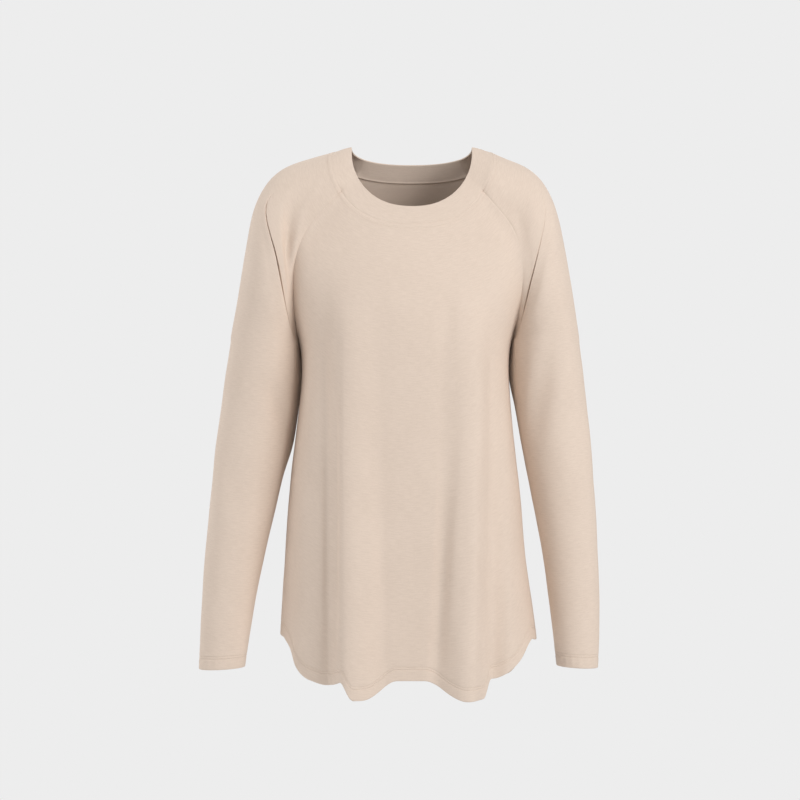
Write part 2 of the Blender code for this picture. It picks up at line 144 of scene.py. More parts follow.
# Mesh density: columns and rows, samples of a length, the cloth taken round a sleeve, how far the even
# columns (a length) and rows (a part of the seam) stay from the closer ones at a seam, and those
FRONT_COLUMNS = 150
BACK_COLUMNS = 120
SLEEVE_COLUMNS = 124
YOKE_ROWS = 60
BODY_ROWS = 100
ARM_ROWS = 104
COLUMN_SAMPLES = 4000
SEAM_SAMPLES = 60
SLEEVE_ROUND = 0.30
SIDE_GAP = 0.0005
NECK_GAP = 0.004
BAND_ROWS = (0, 0.03, 0.06, 0.10, 0.16, 0.28, 0.42, 0.56, 0.70, 0.82, 0.90, 0.95, 0.975, 0.99, 1)
SEAM_STEPS = (0.0008, 0.0016, 0.0024, 0.0032, 0.0040, 0.0052)
NECK_STEPS = (0.0008, 0.0016, 0.0024, 0.0036, 0.0050, 0.0056, 0.0062, 0.0068, 0.0078)
FOLD_STEPS = (0.0004, 0.0009, 0.0015, 0.0022, 0.0031, 0.0042, 0.0056)
EDGE_STEPS = (
    0.0, 0.0002, 0.0006, 0.0012, 0.0024, 0.0050, 0.0085, 0.0120, 0.0140, 0.0147, 0.0153,
    0.0159, 0.0166, 0.0174, 0.0181, 0.0188, 0.0195, 0.0205,
)


class Table:
    """A short table with named columns, read between its rows with a natural cubic spline."""

    def __init__(self, columns, rows):
        rows = sorted(rows)
        self.keys = np.array([row[0] for row in rows], dtype=float)
        self.values = {
            name: np.array([row[i] for row in rows], dtype=float)
            for i, name in enumerate(columns)
        }
        self.bends = {name: self._bend(values) for name, values in self.values.items()}

    def _bend(self, values):
        """Second derivatives of the spline at the rows, nought at both ends."""
        step = np.diff(self.keys)
        slope = np.diff(values) / step
        count = len(values)
        matrix = np.eye(count)
        right = np.zeros(count)
        for i in range(1, count - 1):
            matrix[i, i - 1:i + 2] = (step[i - 1], 2 * (step[i - 1] + step[i]), step[i])
            right[i] = 6 * (slope[i] - slope[i - 1])
        return np.linalg.solve(matrix, right)

    def at(self, name, key):
        """The column's value at a key, or at an array of keys."""
        key = np.clip(np.asarray(key, dtype=float), self.keys[0], self.keys[-1])
        low = np.clip(np.searchsorted(self.keys, key) - 1, 0, len(self.keys) - 2)
        step = self.keys[low + 1] - self.keys[low]
        above = (key - self.keys[low]) / step
        below = 1 - above
        values = self.values[name]
        bends = self.bends[name]
        return (
            below * values[low]
            + above * values[low + 1]
            + ((below**3 - below) * bends[low] + (above**3 - above) * bends[low + 1]) * step**2 / 6
        )


# Level sections of the torso form, from the hem up to the neck
TORSO = Table(
    ("height", "centre", "half_width", "front", "back", "fullness"),
    (
        (-0.780, 0.001, 0.183, 0.122, 0.116, 0.50),
        (-0.680, 0.001, 0.179, 0.121, 0.113, 0.50),
        (-0.580, -0.003, 0.169, 0.120, 0.109, 0.50),
        (-0.490, -0.004, 0.162, 0.119, 0.106, 0.50),
        (-0.400, -0.004, 0.152, 0.119, 0.104, 0.50),
        (-0.330, -0.003, 0.1455, 0.119, 0.103, 0.50),
        (UNDERARM, -0.003, UNDERARM_HALF_WIDTH, 0.118, 0.104, 0.50),
        (-0.240, -0.002, 0.160, 0.115, 0.104, 0.52),
        (-0.200, 0.000, 0.180, 0.108, 0.103, 0.58),
        (-0.150, 0.002, 0.210, 0.092, 0.099, 0.70),
        (-0.110, 0.004, 0.217, 0.077, 0.092, 0.85),
        (-0.065, 0.006, 0.207, 0.062, 0.080, 1.00),
        (-0.020, 0.006, 0.190, 0.046, 0.062, 1.05),
    ),
)

# Both raglan seams and the line over the arm, from the neck (0) to the underarm (1)
RAGLAN = Table(
    ("step", "front_x", "front_z", "back_x", "back_z", "over_left", "over_right", "over_z", "wrap"),
    (
        (0.00, 0.0976, -0.0645, 0.0780, -0.0350, 0.1105, 0.1095, -0.0065, 8),
        (0.20, 0.1190, -0.0880, 0.1010, -0.0600, 0.1370, 0.1430, -0.0165, 10),
        (0.40, 0.1400, -0.1140, 0.1250, -0.0920, 0.1740, 0.1790, -0.0330, 16),
        (0.60, 0.1540, -0.1480, 0.1450, -0.1360, 0.2010, 0.2080, -0.0700, 26),
        (0.80, 0.1580, -0.2000, 0.1550, -0.1940, 0.2190, 0.2250, -0.1360, 45),
        (0.92, 0.1535, -0.2470, 0.1530, -0.2450, 0.2310, 0.2365, -0.2050, 68),
        (1.00, UNDERARM_HALF_WIDTH, UNDERARM, UNDERARM_HALF_WIDTH, UNDERARM, 0.2400, 0.2470, -0.2640, 90),
    ),
)

# Level sections of both arm tubes below the underarm, as distances from the middle of the body
ARMS = Table(
    (
        "height", "left_inner", "left_outer", "right_inner", "right_outer",
        "forward", "left_depth", "right_depth",
    ),
    (
        (-0.724, 0.2070, 0.2645, 0.2255, 0.2895, 0.030, 0.0300, 0.0320),
        (-0.633, 0.1967, 0.2670, 0.2115, 0.2862, 0.020, 0.0355, 0.0370),
        (-0.577, 0.1895, 0.2658, 0.2005, 0.2832, 0.013, 0.0385, 0.0400),
        (-0.493, 0.1743, 0.2622, 0.1815, 0.2755, 0.004, 0.0435, 0.0450),
        (-0.409, 0.1583, 0.2548, 0.1640, 0.2667, -0.001, 0.0480, 0.0490),
        (-0.353, 0.1490, 0.2500, 0.1560, 0.2595, -0.002, 0.0515, 0.0520),
        (-0.310, 0.1455, 0.2452, 0.1520, 0.2535, -0.001, 0.0545, 0.0545),
        (UNDERARM, 0.1460, 0.2400, 0.1520, 0.2470, 0.000, 0.0580, 0.0580),
    ),
)
CUFF_HEIGHT = {"left": -0.7225, "right": -0.7245}
SIDE_SIGN = {"left": 1.0, "right": -1.0}
FACING = {"front": -1.0, "back": 1.0}

# Long folds of the body. x is the crest at the fold's top and at the hem, inner and outer are the
# widths of the flanks towards and away from the middle, crisp is how much of the outer flank stays
# high before it falls, and rise is the height at the hem (a trough is below nought).
FOLD_COLUMNS = ("panel", "top_z", "top_x", "hem_x", "inner", "outer", "crisp", "rise", "growth")
BODY_FOLDS = (
    ("front", -0.160, -0.082, -0.075, 0.048, 0.036, 0.00, 0.028, 0.6),
    ("front", -0.160, 0.087, 0.076, 0.040, 0.032, 0.00, 0.028, 0.6),
    ("front", -0.220, 0.004, 0.004, 0.060, 0.060, 0.00, -0.004, 0.8),
    ("front", -0.180, -0.114, -0.114, 0.018, 0.026, 0.00, -0.007, 0.6),
    ("front", -0.200, 0.123, 0.121, 0.020, 0.020, 0.00, -0.010, 0.7),
    ("back", -0.200, -0.082, -0.088, 0.050, 0.040, 0.10, 0.019, 1.0),
    ("back", -0.260, 0.004, 0.010, 0.045, 0.045, 0.00, 0.013, 1.1),
    ("back", -0.180, 0.078, 0.092, 0.050, 0.040, 0.10, 0.020, 1.0),
    ("back", -0.220, -0.040, -0.040, 0.035, 0.035, 0.00, -0.006, 0.9),
    ("back", -0.220, 0.048, 0.052, 0.035, 0.035, 0.00, -0.006, 0.9),
)

# Dips of the hem below its smooth curve, each with the widths of its flanks as for the folds
DIP_COLUMNS = ("panel", "hem_x", "inner", "outer", "crisp", "drop")
HEM_DIPS = (
    ("front", -0.057, 0.042, 0.027, 0.35, 0.0248),
    ("front", 0.072, 0.050, 0.046, 0.62, 0.0260),
    ("front", -0.113, 0.038, 0.032, 0.00, 0.0082),
    ("front", -0.1715, 0.007, 0.012, 0.00, 0.0026),
    ("front", -0.1605, 0.008, 0.008, 0.00, -0.0050),
    ("front", 0.146, 0.026, 0.034, 0.00, -0.0114),
    ("front", 0.180, 0.018, 0.010, 0.00, 0.0078),
    ("back", -0.088, 0.042, 0.034, 0.10, 0.012),
    ("back", 0.010, 0.038, 0.038, 0.00, 0.007),
    ("back", 0.092, 0.042, 0.034, 0.10, 0.013),
    ("back", 0.180, 0.010, 0.010, 0.00, 0.0060),
)

# Soft creases of the sleeves. angle runs from the inside of the arm (-90) over its front (0) to its
# outside (90) and back (180), at the crease's top and foot, and width is in degrees.
CREASE_COLUMNS = ("side", "top_z", "foot_z", "top_angle", "foot_angle", "width", "rise")
SLEEVE_CREASES = (
    ("left", -0.060, -0.285, 58, -78, 26, -0.0045),
    ("left", -0.045, -0.150, 42, -33, 13, -0.0020),
    ("left", -0.215, -0.450, 26, -50, 30, -0.0045),
    ("left", -0.330, -0.560, 96, 20, 40, 0.0025),
    ("left", -0.075, -0.285, 126, 256, 28, -0.0040),
    ("left", -0.260, -0.480, 168, 236, 36, -0.0030),
    ("right", -0.070, -0.285, 60, -78, 24, -0.0015),
    ("right", -0.040, -0.235, 38, -62, 10, -0.0110),
    ("right", -0.310, -0.420, -8, -66, 32, -0.0035),
    ("right", -0.360, -0.600, 84, 10, 40, 0.0025),
    ("right", -0.085, -0.285, 130, 256, 28, -0.0040),
    ("right", -0.280, -0.500, 166, 236, 36, -0.0030),
    ("left", -0.215, -0.325, 250, 250, 34, 0.0050),
    ("left", -0.265, -0.375, 250, 250, 34, 0.0050),
    ("right", -0.210, -0.340, 250, 250, 34, 0.0060),
    ("right", -0.275, -0.405, 250, 250, 34, 0.0070),
    ("right", -0.340, -0.470, 250, 250, 34, 0.0070),
)

# Finer creases, each a straight stroke on the front or back as seen from there. before and after are
# the widths of its flanks on the -X and the +X side.
STROKE_COLUMNS = ("panel", "top_x", "top_z", "foot_x", "foot_z", "before", "after", "rise")
BODY_STROKES = (
    ("front", -0.128, -0.140, -0.152, -0.860, 0.020, 0.026, 0.0028),
    ("front", -0.118, -0.200, -0.119, -0.900, 0.020, 0.015, 0.0060),
    ("front", -0.093, -0.200, -0.099, -0.900, 0.012, 0.014, -0.0050),
    ("front", 0.064, -0.300, 0.030, -0.860, 0.016, 0.014, -0.0036),
    ("front", 0.118, -0.215, 0.132, -0.520, 0.014, 0.020, 0.0022),
    ("front", 0.060, -0.165, 0.050, -0.330, 0.022, 0.014, -0.0016),
    ("front", -0.050, -0.440, -0.047, -0.700, 0.010, 0.016, 0.0012),
    ("front", 0.062, -0.430, 0.058, -0.700, 0.016, 0.010, 0.0012),
    ("back", 0.118, -0.190, 0.050, -0.330, 0.020, 0.022, -0.0022),
    ("back", -0.120, -0.200, -0.060, -0.350, 0.022, 0.018, -0.0020),
    ("back", 0.125, -0.250, 0.136, -0.500, 0.016, 0.020, 0.0022),
    ("back", -0.126, -0.240, -0.140, -0.480, 0.020, 0.016, 0.0024),
    ("back", 0.018, -0.120, 0.006, -0.300, 0.026, 0.022, -0.0014),
)

# Crisp folds of the sleeves, where the arm's cloth rolls over towards the body, on the front and, less
# deep, on the back. left and right are where they run, as parts of the way round the sleeve from its
# seam. The step is counted as for the seams, and goes on past 1 below the underarm.
FOLD_LINES = Table(
    ("step", "left", "right", "left_depth", "right_depth"),
    (
        (0.00, 0.300, 0.300, 0.0000, 0.0000),
        (0.45, 0.300, 0.300, 0.0000, 0.0000),
        (0.60, 0.262, 0.275, 0.0004, 0.0022),
        (0.70, 0.146, 0.161, 0.0012, 0.0050),
        (0.80, 0.062, 0.096, 0.0046, 0.0062),
        (0.90, 0.045, 0.066, 0.0060, 0.0066),
        (1.00, 0.058, 0.067, 0.0060, 0.0060),
        (1.16, 0.065, 0.067, 0.0000, 0.0000),
    ),
)
STEP_LENGTH = 0.25

# How far the valley along each armhole seam is filled, or sunk where it is below nought
SEAM_LIFTS = Table(
    ("step", "left", "right"),
    (
        (0.00, 0.0000, 0.0000),
        (0.12, 0.0028, 0.0028),
        (0.40, 0.0038, 0.0028),
        (0.60, 0.0048, -0.0005),
        (0.76, 0.0042, -0.0040),
        (0.93, 0.0000, 0.0000),
        (1.00, 0.0000, 0.0000),
    ),
)
BACK_SHARE = 0.6

# Slight unevenness of the hanging cloth: waves over x, slanted by z, times waves over z, slanted by y
SLACK_COLUMNS = ("share", "x_wave", "x_slant", "start", "z_wave", "z_slant")
SLACK_WAVES = (
    (0.65, 0.087, 0.31, 0.1, 0.133, 0.11),
    (0.35, 0.041, -0.17, 0.6, 0.067, -0.08),
)

# One stitch: rings of the thread along it in stitch lengths, their thickness and height in thread radii
STITCH_RINGS = (
    (-0.50, 0.30, -1.20),
    (-0.36, 0.85, -0.10),
    (0.00, 1.00, 0.35),
    (0.36, 0.85, -0.10),
    (0.50, 0.30, -1.20),
)

# Jersey: how much of the darker fibre shows, how many streaks and fibres lie across and along a metre,
# and the size of a knitted loop
FLECK_SHARE = 0.45
STREAK_SCALE = (85, 620, 1)
FIBRE_SCALE = (420, 1500, 1)
LOOP_WIDTH = 0.0011
LOOP_HEIGHT = 0.0009

# Camera, as far from the garment as the picture was taken, and the studio's lamps
CAMERA_PLACE = (-0.0105, -3.5, -0.353)
VIEW_WIDTH = 1.12
SENSOR_WIDTH = 36
FLOOR_HEIGHT = -1.60
FLOOR_RADIUS = 2.6
FLOOR_CORNERS = 96
LAMP_COLUMNS = ("name", "place", "size", "share")
LAMPS = (
    ("key_lamp", (2.2, -2.3, 0.95), 1.4, 1.02),
    ("left_lamp", (-2.7, -1.0, 0.7), 2.0, 0.42),
    ("rim_lamp", (-2.4, 1.2, 0.6), 1.6, 0.25),
    ("top_lamp", (0.5, -1.2, 2.4), 1.4, 0.14),
    ("back_lamp", (0.4, 2.6, 1.4), 1.8, 0.30),
)


class RaglanTopCloth(bpy.types.PropertyGroup):
    """Sizes and colours of the cloth"""

    cloth_wall: FloatProperty(
        name="Jersey thickness", description="Thickness of one layer of jersey",
        default=0.0016, min=0.0008, max=0.003, unit="LENGTH", precision=4,
    )
    turned_wall: FloatProperty(
        name="Hem thickness", description="Thickness where the cloth is turned up and sewn down",
        default=0.0026, min=0.001, max=0.004, unit="LENGTH", precision=4,
    )
    band_wall: FloatProperty(
        name="Neckband thickness", description="Thickness of the doubled neckband",
        default=0.0024, min=0.001, max=0.004, unit="LENGTH", precision=4,
    )
    turn: FloatProperty(
        name="Turned edge", description="How far the hem and the cuffs are turned up inside",
        default=0.0195, min=0.010, max=0.040, unit="LENGTH", precision=4,
    )
    crease: FloatProperty(
        name="Crease depth", description="How deep the fine creases are, where 1 is as worn",
        default=1.0, min=0.0, max=2.0, subtype="FACTOR",
    )
    slack: FloatProperty(
        name="Slack", description="Height of the slight unevenness of the hanging cloth",
        default=0.0003, min=0.0, max=0.002, unit="LENGTH", precision=4,
    )
    jersey: FloatVectorProperty(
        name="Jersey colour", description="Main colour of the heathered jersey",
        default=(0.745, 0.618, 0.520), min=0, max=1, subtype="COLOR",
    )
    fleck: FloatVectorProperty(
        name="Fleck colour", description="Colour of the darker fibres in the jersey",
        default=(0.620, 0.500, 0.410), min=0, max=1, subtype="COLOR",
    )
    inside: FloatVectorProperty(
        name="Inside colour", description="Colour of the wrong side of the jersey",
        default=(0.690, 0.565, 0.470), min=0, max=1, subtype="COLOR",
    )


class RaglanTopSewing(bpy.types.PropertyGroup):
    """Sizes and colour of the stitches"""

    length: FloatProperty(
        name="Stitch length", description="Length of one visible stitch",
        default=0.0027, min=0.001, max=0.006, unit="LENGTH", precision=4,
    )
    gap: FloatProperty(
        name="Stitch gap", description="Gap between two stitches",
        default=0.0005, min=0.0001, max=0.003, unit="LENGTH", precision=4,
    )
    thread: FloatProperty(
        name="Thread", description="Diameter of the sewing thread",
        default=0.0004, min=0.0002, max=0.001, unit="LENGTH", precision=4,
    )
    colour: FloatVectorProperty(
        name="Thread colour", description="Colour of the sewing thread",
        default=(0.720, 0.585, 0.480), min=0, max=1, subtype="COLOR",
    )


class RaglanTopStudio(bpy.types.PropertyGroup):
    """Light and backdrop"""

    key: FloatProperty(
        name="Key light", description="Power of the main lamp, and the others follow it",
        default=62, min=0, max=1000, unit="POWER",
    )
    fill: FloatProperty(
        name="Fill light", description="Brightness of the even light from all sides",
        default=0.47, min=0, max=3,
    )
    backdrop: FloatVectorProperty(
        name="Backdrop colour", description="Colour behind the garment",
        default=(0.847, 0.847, 0.847), min=0, max=1, subtype="COLOR",
    )


def named(columns, rows, first=None):
    """The rows of a table as dictionaries, or only those whose first column has a value."""
    return [dict(zip(columns, row)) for row in rows if first in (None, row[0])]


def unit(vectors):
    """Vectors along the last axis, brought to length 1."""
    return vectors / np.maximum(np.linalg.norm(vectors, axis=-1, keepdims=True), 1e-12)


def ease(low, high, value):
    """A smooth step from 0 at low to 1 at high."""
    part = np.clip((value - low) / (high - low), 0, 1)
    return part * part * (3 - 2 * part)


def bump(part):
    """A smooth hump of height 1 at 0 that ends at -1 and at 1."""
    return 0.5 + 0.5 * np.cos(math.pi * np.clip(part, -1, 1))


def fold_profile(row, offset):
    """A fold's height across it: a soft flank towards the middle and a crisp one away from it."""
    outward = offset if row["hem_x"] > 0 else -offset
    soft = bump(outward / row["inner"])
    crisp = 1 - ease(row["crisp"], 1, outward / row["outer"])
    return np.where(outward < 0, soft, crisp)


def torso_depth(x, z, panel):
    """How far the torso form lies in front of or behind the side seams, with its sign."""
    reach = np.clip(np.abs(x - TORSO.at("centre", z)) / TORSO.at("half_width", z), 0, 1)
    depth = (1 - reach**SECTION_ROUNDNESS) ** TORSO.at("fullness", z)
    return FACING[panel] * TORSO.at(panel, z) * depth


def neck_seam_height(across, panel):
    """Height of the band's seam at a distance from the middle of the neck."""
    drop = BAND_FRONT_DROP if panel == "front" else BAND_BACK_DROP
    reach = np.clip(np.abs(across) / BAND_HALF_WIDTH, 0, 1)
    return BAND_TOP - drop * (1 - reach**BAND_ROUNDNESS) ** (1 / BAND_ROUNDNESS)


def hem_height(reach, across, panel):
    """Height of the shirt-tail hem, with the dips under its folds."""
    turned = np.sqrt(np.clip(1 - np.abs(reach) ** SECTION_ROUNDNESS, 0, 1))
    lowest = FRONT_HEM if panel == "front" else BACK_HEM
    height = SIDE_HEM + (lowest - SIDE_HEM) * ease(TAIL_START, TAIL_END, turned)
    for row in named(DIP_COLUMNS, HEM_DIPS, panel):
        height = height - row["drop"] * fold_profile(row, across - row["hem_x"])
    return height


def side_ease(x, z):
    """1 over the middle of a panel, falling to 0 at its side seams."""
    reach = np.abs(x - TORSO.at("centre", z)) / TORSO.at("half_width", z)
    return ease(0, SIDE_REST, 1 - reach)


def fold_rise(panel, x, z):
    """How far the long folds push a panel's points out of the torso form."""
    rise = np.zeros(x.shape)
    for row in named(FOLD_COLUMNS, BODY_FOLDS, panel):
        down = np.clip((row["top_z"] - z) / (row["top_z"] - FRONT_HEM), 0, FOLD_END)
        crest = row["top_x"] + (row["hem_x"] - row["top_x"]) * down
        strength = ease(0, FOLD_START, down) * down ** row["growth"]
        rise += row["rise"] * strength * fold_profile(row, x - crest)
    return rise * side_ease(x, z)


def stroke_rise(panel, x, z):
    """How far the finer creases push a panel's points."""
    rise = np.zeros(x.shape)
    for row in named(STROKE_COLUMNS, BODY_STROKES, panel):
        down = (row["top_z"] - z) / (row["top_z"] - row["foot_z"])
        offset = x - row["top_x"] - (row["foot_x"] - row["top_x"]) * down
        width = np.where(offset < 0, row["before"], row["after"])
        rise += row["rise"] * bump(2 * np.clip(down, 0, 1) - 1) * bump(offset / width)
    return rise * side_ease(x, z)


def crease_rise(side, z, angle):
    """How far the soft creases push the points of a sleeve's row out or in."""
    rise = np.zeros(len(angle))
    for row in named(CREASE_COLUMNS, SLEEVE_CREASES, side):
        down = (row["top_z"] - z) / (row["top_z"] - row["foot_z"])
        course = row["top_angle"] + (row["foot_angle"] - row["top_angle"]) * down
        away = (np.degrees(angle) - course + 180) % 360 - 180
        rise += row["rise"] * bump(2 * np.clip(down, 0, 1) - 1) * bump(away / row["width"])
    return rise


def fold_line_rise(side, steps, across, columns):
    """How far the crisp folds move the points of a sleeve: a narrow groove with a roll on the arm's side."""
    depth = np.clip(FOLD_LINES.at(side + "_depth", steps), 0, None)[:, None]
    rise = np.zeros(across.shape)
    for column, sign, share in zip(columns, (1, -1), (1, BACK_SHARE)):
        offset = sign * (across - across[:, column:column + 1])
        roll = ease(0, FOLD_REACH, offset) * (1 - ease(FOLD_REACH, ROLL_REACH, offset))
        rise += share * depth * (ROLL_SHARE * roll - bump(offset / FOLD_REACH))
    return rise


def column_reach(panel, columns):
    """Where a panel's columns run, as parts of the way from its middle to its side seams.

    The columns are evenly spaced along the cloth at the hem, so its folds get as many as they need,
    and a few more lie close to each side for the seams.
    """
    reach = np.sin(np.linspace(-math.pi / 2, math.pi / 2, COLUMN_SAMPLES))
    z = np.full(COLUMN_SAMPLES, SIDE_HEM)
    x = TORSO.at("centre", z) + reach * TORSO.at("half_width", z)
    y = torso_depth(x, z, panel) + FACING[panel] * fold_rise(panel, x, z)
    length = np.concatenate(((0,), np.cumsum(np.hypot(np.diff(x), np.diff(y)))))
    steps = with_sides(np.linspace(0, length[-1], columns + 1), SEAM_STEPS)
    reach = np.interp(steps, length, reach)
    reach[0], reach[-1] = -1, 1
    return reach


def with_sides(steps, extra):
    """Even steps with closer ones near both ends."""
    inner = steps[(steps > extra[-1] + SIDE_GAP) & (steps < steps[-1] - extra[-1] - SIDE_GAP)]
    near = np.array(extra)
    return np.concatenate(((steps[0],), near, inner, steps[-1] - near[::-1], (steps[-1],)))


def yoke_steps():
    """Steps from the neck to the underarm, closer beside the neck seam."""
    near = np.array(NECK_STEPS) / seam_length()
    rest = np.linspace(0, 1, YOKE_ROWS + 1)
    return np.concatenate(((0,), near, rest[rest > near[-1] + NECK_GAP]))


def seam_length():
    """Length of the left front raglan seam."""
    steps = np.linspace(0, 1, SEAM_SAMPLES)
    points = np.array([seam_point("front", step, 1.0) for step in steps])
    return np.linalg.norm(np.diff(points, axis=0), axis=1).sum()


def torso_row(panel, x, z):
    """Points of the torso form, from their places across and their heights."""
    return np.stack((x, torso_depth(x, z, panel), z), axis=1)


def panel_grid(panel):
    """Rows of points on the front or back panel, from the neck seam to the hem, from -X to +X."""
    columns = FRONT_COLUMNS if panel == "front" else BACK_COLUMNS
    reach = column_reach(panel, columns)
    first_x = reach * RAGLAN.at(panel + "_x", 0)
    edge_z = neck_seam_height(RAGLAN.at(panel + "_x", 0), panel)
    middle_z = neck_seam_height(0, panel)
    sag_shape = (neck_seam_height(first_x, panel) - edge_z) / (middle_z - edge_z)
    rows = []
    for step in yoke_steps():
        seam_x = RAGLAN.at(panel + "_x", step)
        seam_z = RAGLAN.at(panel + "_z", step)
        sag = (middle_z - edge_z) * (1 - ease(0, 1, step))
        rows.append(torso_row(panel, TORSO.at("centre", seam_z) + reach * seam_x, seam_z + sag * sag_shape))
    hem_x = TORSO.at("centre", SIDE_HEM) + reach * TORSO.at("half_width", SIDE_HEM)
    hem_z = hem_height(reach, hem_x, panel)
    body_end = hem_z + EDGE_STEPS[-1]
    levels = [UNDERARM + (body_end - UNDERARM) * part for part in np.linspace(0, 1, BODY_ROWS + 1)[1:]]
    levels += [hem_z + step for step in EDGE_STEPS[-2::-1]]
    for z in levels:
        rows.append(torso_row(panel, TORSO.at("centre", z) + reach * TORSO.at("half_width", z), z))
    grid = np.array(rows)
    return grid, fold_rise(panel, grid[..., 0], grid[..., 2])


def seam_point(panel, step, sign):
    """A point of a raglan seam on the torso form."""
    z = RAGLAN.at(panel + "_z", step)
    x = TORSO.at("centre", z) + sign * RAGLAN.at(panel + "_x", step)
    return np.array((x, torso_depth(x, z, panel), z))


def over_point(side, step):
    """A point of the line over the shoulder and the outside of the arm."""
    lean = NECK_CENTRE * (1 - ease(0, LEAN_END, step))
    sign = SIDE_SIGN[side]
    return np.array((lean + sign * RAGLAN.at("over_" + side, step), 0, RAGLAN.at("over_z", step)))


def sleeve_section(side, step):
    """Both seam points of a sleeve's row above the underarm, half its depth and the angle where it starts."""
    front = seam_point("front", step, SIDE_SIGN[side])
    back = seam_point("back", step, SIDE_SIGN[side])
    apart = np.linalg.norm(front - back)
    if step <= WRAP_END:
        start = -math.radians(RAGLAN.at("wrap", step))
        return front, back, apart / (2 * math.cos(start)), start
    upper = sleeve_section(side, WRAP_END)[2]
    half = upper + (ARMS.at(side + "_depth", UNDERARM) - upper) * (step - WRAP_END) / (1 - WRAP_END)
    return front, back, half, -math.acos(apart / (2 * half))


def sleeve_turns():
    """Where a sleeve's columns run, as parts of the way round, and the two columns of its crisp folds."""
    steps = with_sides(np.linspace(0, SLEEVE_ROUND, SLEEVE_COLUMNS + 1), SEAM_STEPS)
    near = np.array(FOLD_STEPS)
    places = (FOLD_PLACE * SLEEVE_ROUND, (1 - FOLD_PLACE) * SLEEVE_ROUND)
    for place in places:
        steps = steps[np.abs(steps - place) > near[-1] + SIDE_GAP]
        steps = np.sort(np.concatenate((steps, place - near, (place,), place + near)))
    return steps / SLEEVE_ROUND, [int(np.argmin(np.abs(steps - place))) for place in places]


def turned_to_fold(side, step, turns):
    """The columns of one row, moved so that the two fold columns lie on their folds."""
    place = float(FOLD_LINES.at(side, step))
    return np.interp(turns, (0, FOLD_PLACE, 1 - FOLD_PLACE, 1), (0, place, 1 - place, 1))


def upper_row(side, step, turns):
    """Points of a sleeve's row above the underarm, part of an ellipse between the seams, and their angles."""
    front, back, half, start = sleeve_section(side, step)
    angle = start + (math.pi - 2 * start) * turns
    middle = (front + back) / 2
    height = over_point(side, step) - middle
    apart = np.linalg.norm(front - back)
    width = half * (front - back) / apart if apart > 1e-6 else np.array((0, -half, 0))
    lift = (np.sin(angle) - math.sin(start)) / (1 - math.sin(start))
    return middle + np.outer(np.cos(angle), width) + np.outer(lift, height), angle


def lower_row(side, level, turns):
    """Points of a sleeve's row below the underarm, a closed ring, and their angles."""
    angle = -math.pi / 2 + 2 * math.pi * turns
    outer = ARMS.at(side + "_outer", level)
    inner = ARMS.at(side + "_inner", level)
    half = (outer - inner) / 2
    x = SIDE_SIGN[side] * ((outer + inner) / 2 + half * np.sin(angle))
    y = -ARMS.at("forward", level) - ARMS.at(side + "_depth", level) * np.cos(angle)
    tilt = CUFF_TILT * ease(UNDERARM, CUFF_HEIGHT[side], level) * half * np.sin(angle)
    return np.stack((x, y, level - tilt), axis=1), angle


def sleeve_grid(side):
    """Rows of points on a sleeve, from the neck seam to the cuff, from its front seam round to its back.

    The seams meet at the underarm, and below it the rows are closed rings whose last point repeats the
    first. The second grid says how far the soft creases move each point, the third how far the crisp
    folds do.
    """
    cuff = CUFF_HEIGHT[side]
    levels = list(np.linspace(UNDERARM, cuff + EDGE_STEPS[-1], ARM_ROWS + 1)[1:])
    levels += [cuff + step for step in EDGE_STEPS[-2::-1]]
    places = [(step, UNDERARM) for step in yoke_steps()]
    places += [(1 + (UNDERARM - level) / STEP_LENGTH, level) for level in levels]
    even, columns = sleeve_turns()
    rows = []
    rises = []
    for step, level in places:
        turns = turned_to_fold(side, step, even)
        row, angle = upper_row(side, step, turns) if step <= 1 else lower_row(side, level, turns)
        from_seam = ease(0, 1, np.minimum(turns, 1 - turns) / SEAM_REST)
        from_underarm = ease(UNDERARM, UNDERARM - CREASE_REST, level)
        rises.append(crease_rise(side, row[:, 2], angle) * (from_underarm + (1 - from_underarm) * from_seam))
        rows.append(row)
    grid = np.array(rows)
    steps = np.array([step for step, level in places])
    return grid, np.array(rises), fold_line_rise(side, steps, grid_run(grid, 1), columns)


def band_grid(front, back, left, right):
    """Rings of points on the neckband, from its seam to the neckline, anticlockwise from above."""
    front, left, back, right = (thinned(piece[0]) for piece in (front, left, back, right))
    seam = np.concatenate((front[:-1], left[:-1], back[::-1][:-1], right[::-1]))
    across = (seam[:, 0] - NECK_CENTRE) / BAND_HALF_WIDTH
    turn = np.arctan2(across, -seam[:, 1] / BAND_REACH)
    level = np.abs(np.cos(turn)) ** SHOULDER_SOFTNESS
    spread = (1 - np.clip(level, 0, 1) ** NECK_ROUNDNESS) ** (1 / NECK_ROUNDNESS)
    forward = np.cos(turn) > 0
    x = NECK_CENTRE + np.sign(np.sin(turn)) * NECK_HALF_WIDTH * spread
    y = -np.cos(turn) * np.where(forward, NECK_FRONT_REACH, NECK_BACK_REACH)
    z = NECK_TOP - level * np.where(forward, NECK_FRONT_DROP, NECK_BACK_DROP)
    neckline = np.stack((x, y, z), axis=1)
    even = evened(seam, CORNER_REACH)
    rings = []
    for part in BAND_ROWS:
        edge = seam + (even - seam) * ease(0, CORNER_FADE, part)
        ring = edge + (neckline - edge) * part
        ring[:, 2] += BAND_RISE * 4 * part * (1 - part)
        rings.append(ring)
    return np.array(rings)


def thinned(edge):
    """The points of an edge, without those that lie almost at its ends."""
    near = np.minimum(np.linalg.norm(edge - edge[0], axis=1), np.linalg.norm(edge - edge[-1], axis=1))
    near[[0, -1]] = 1
    return edge[near > CORNER_GAP]


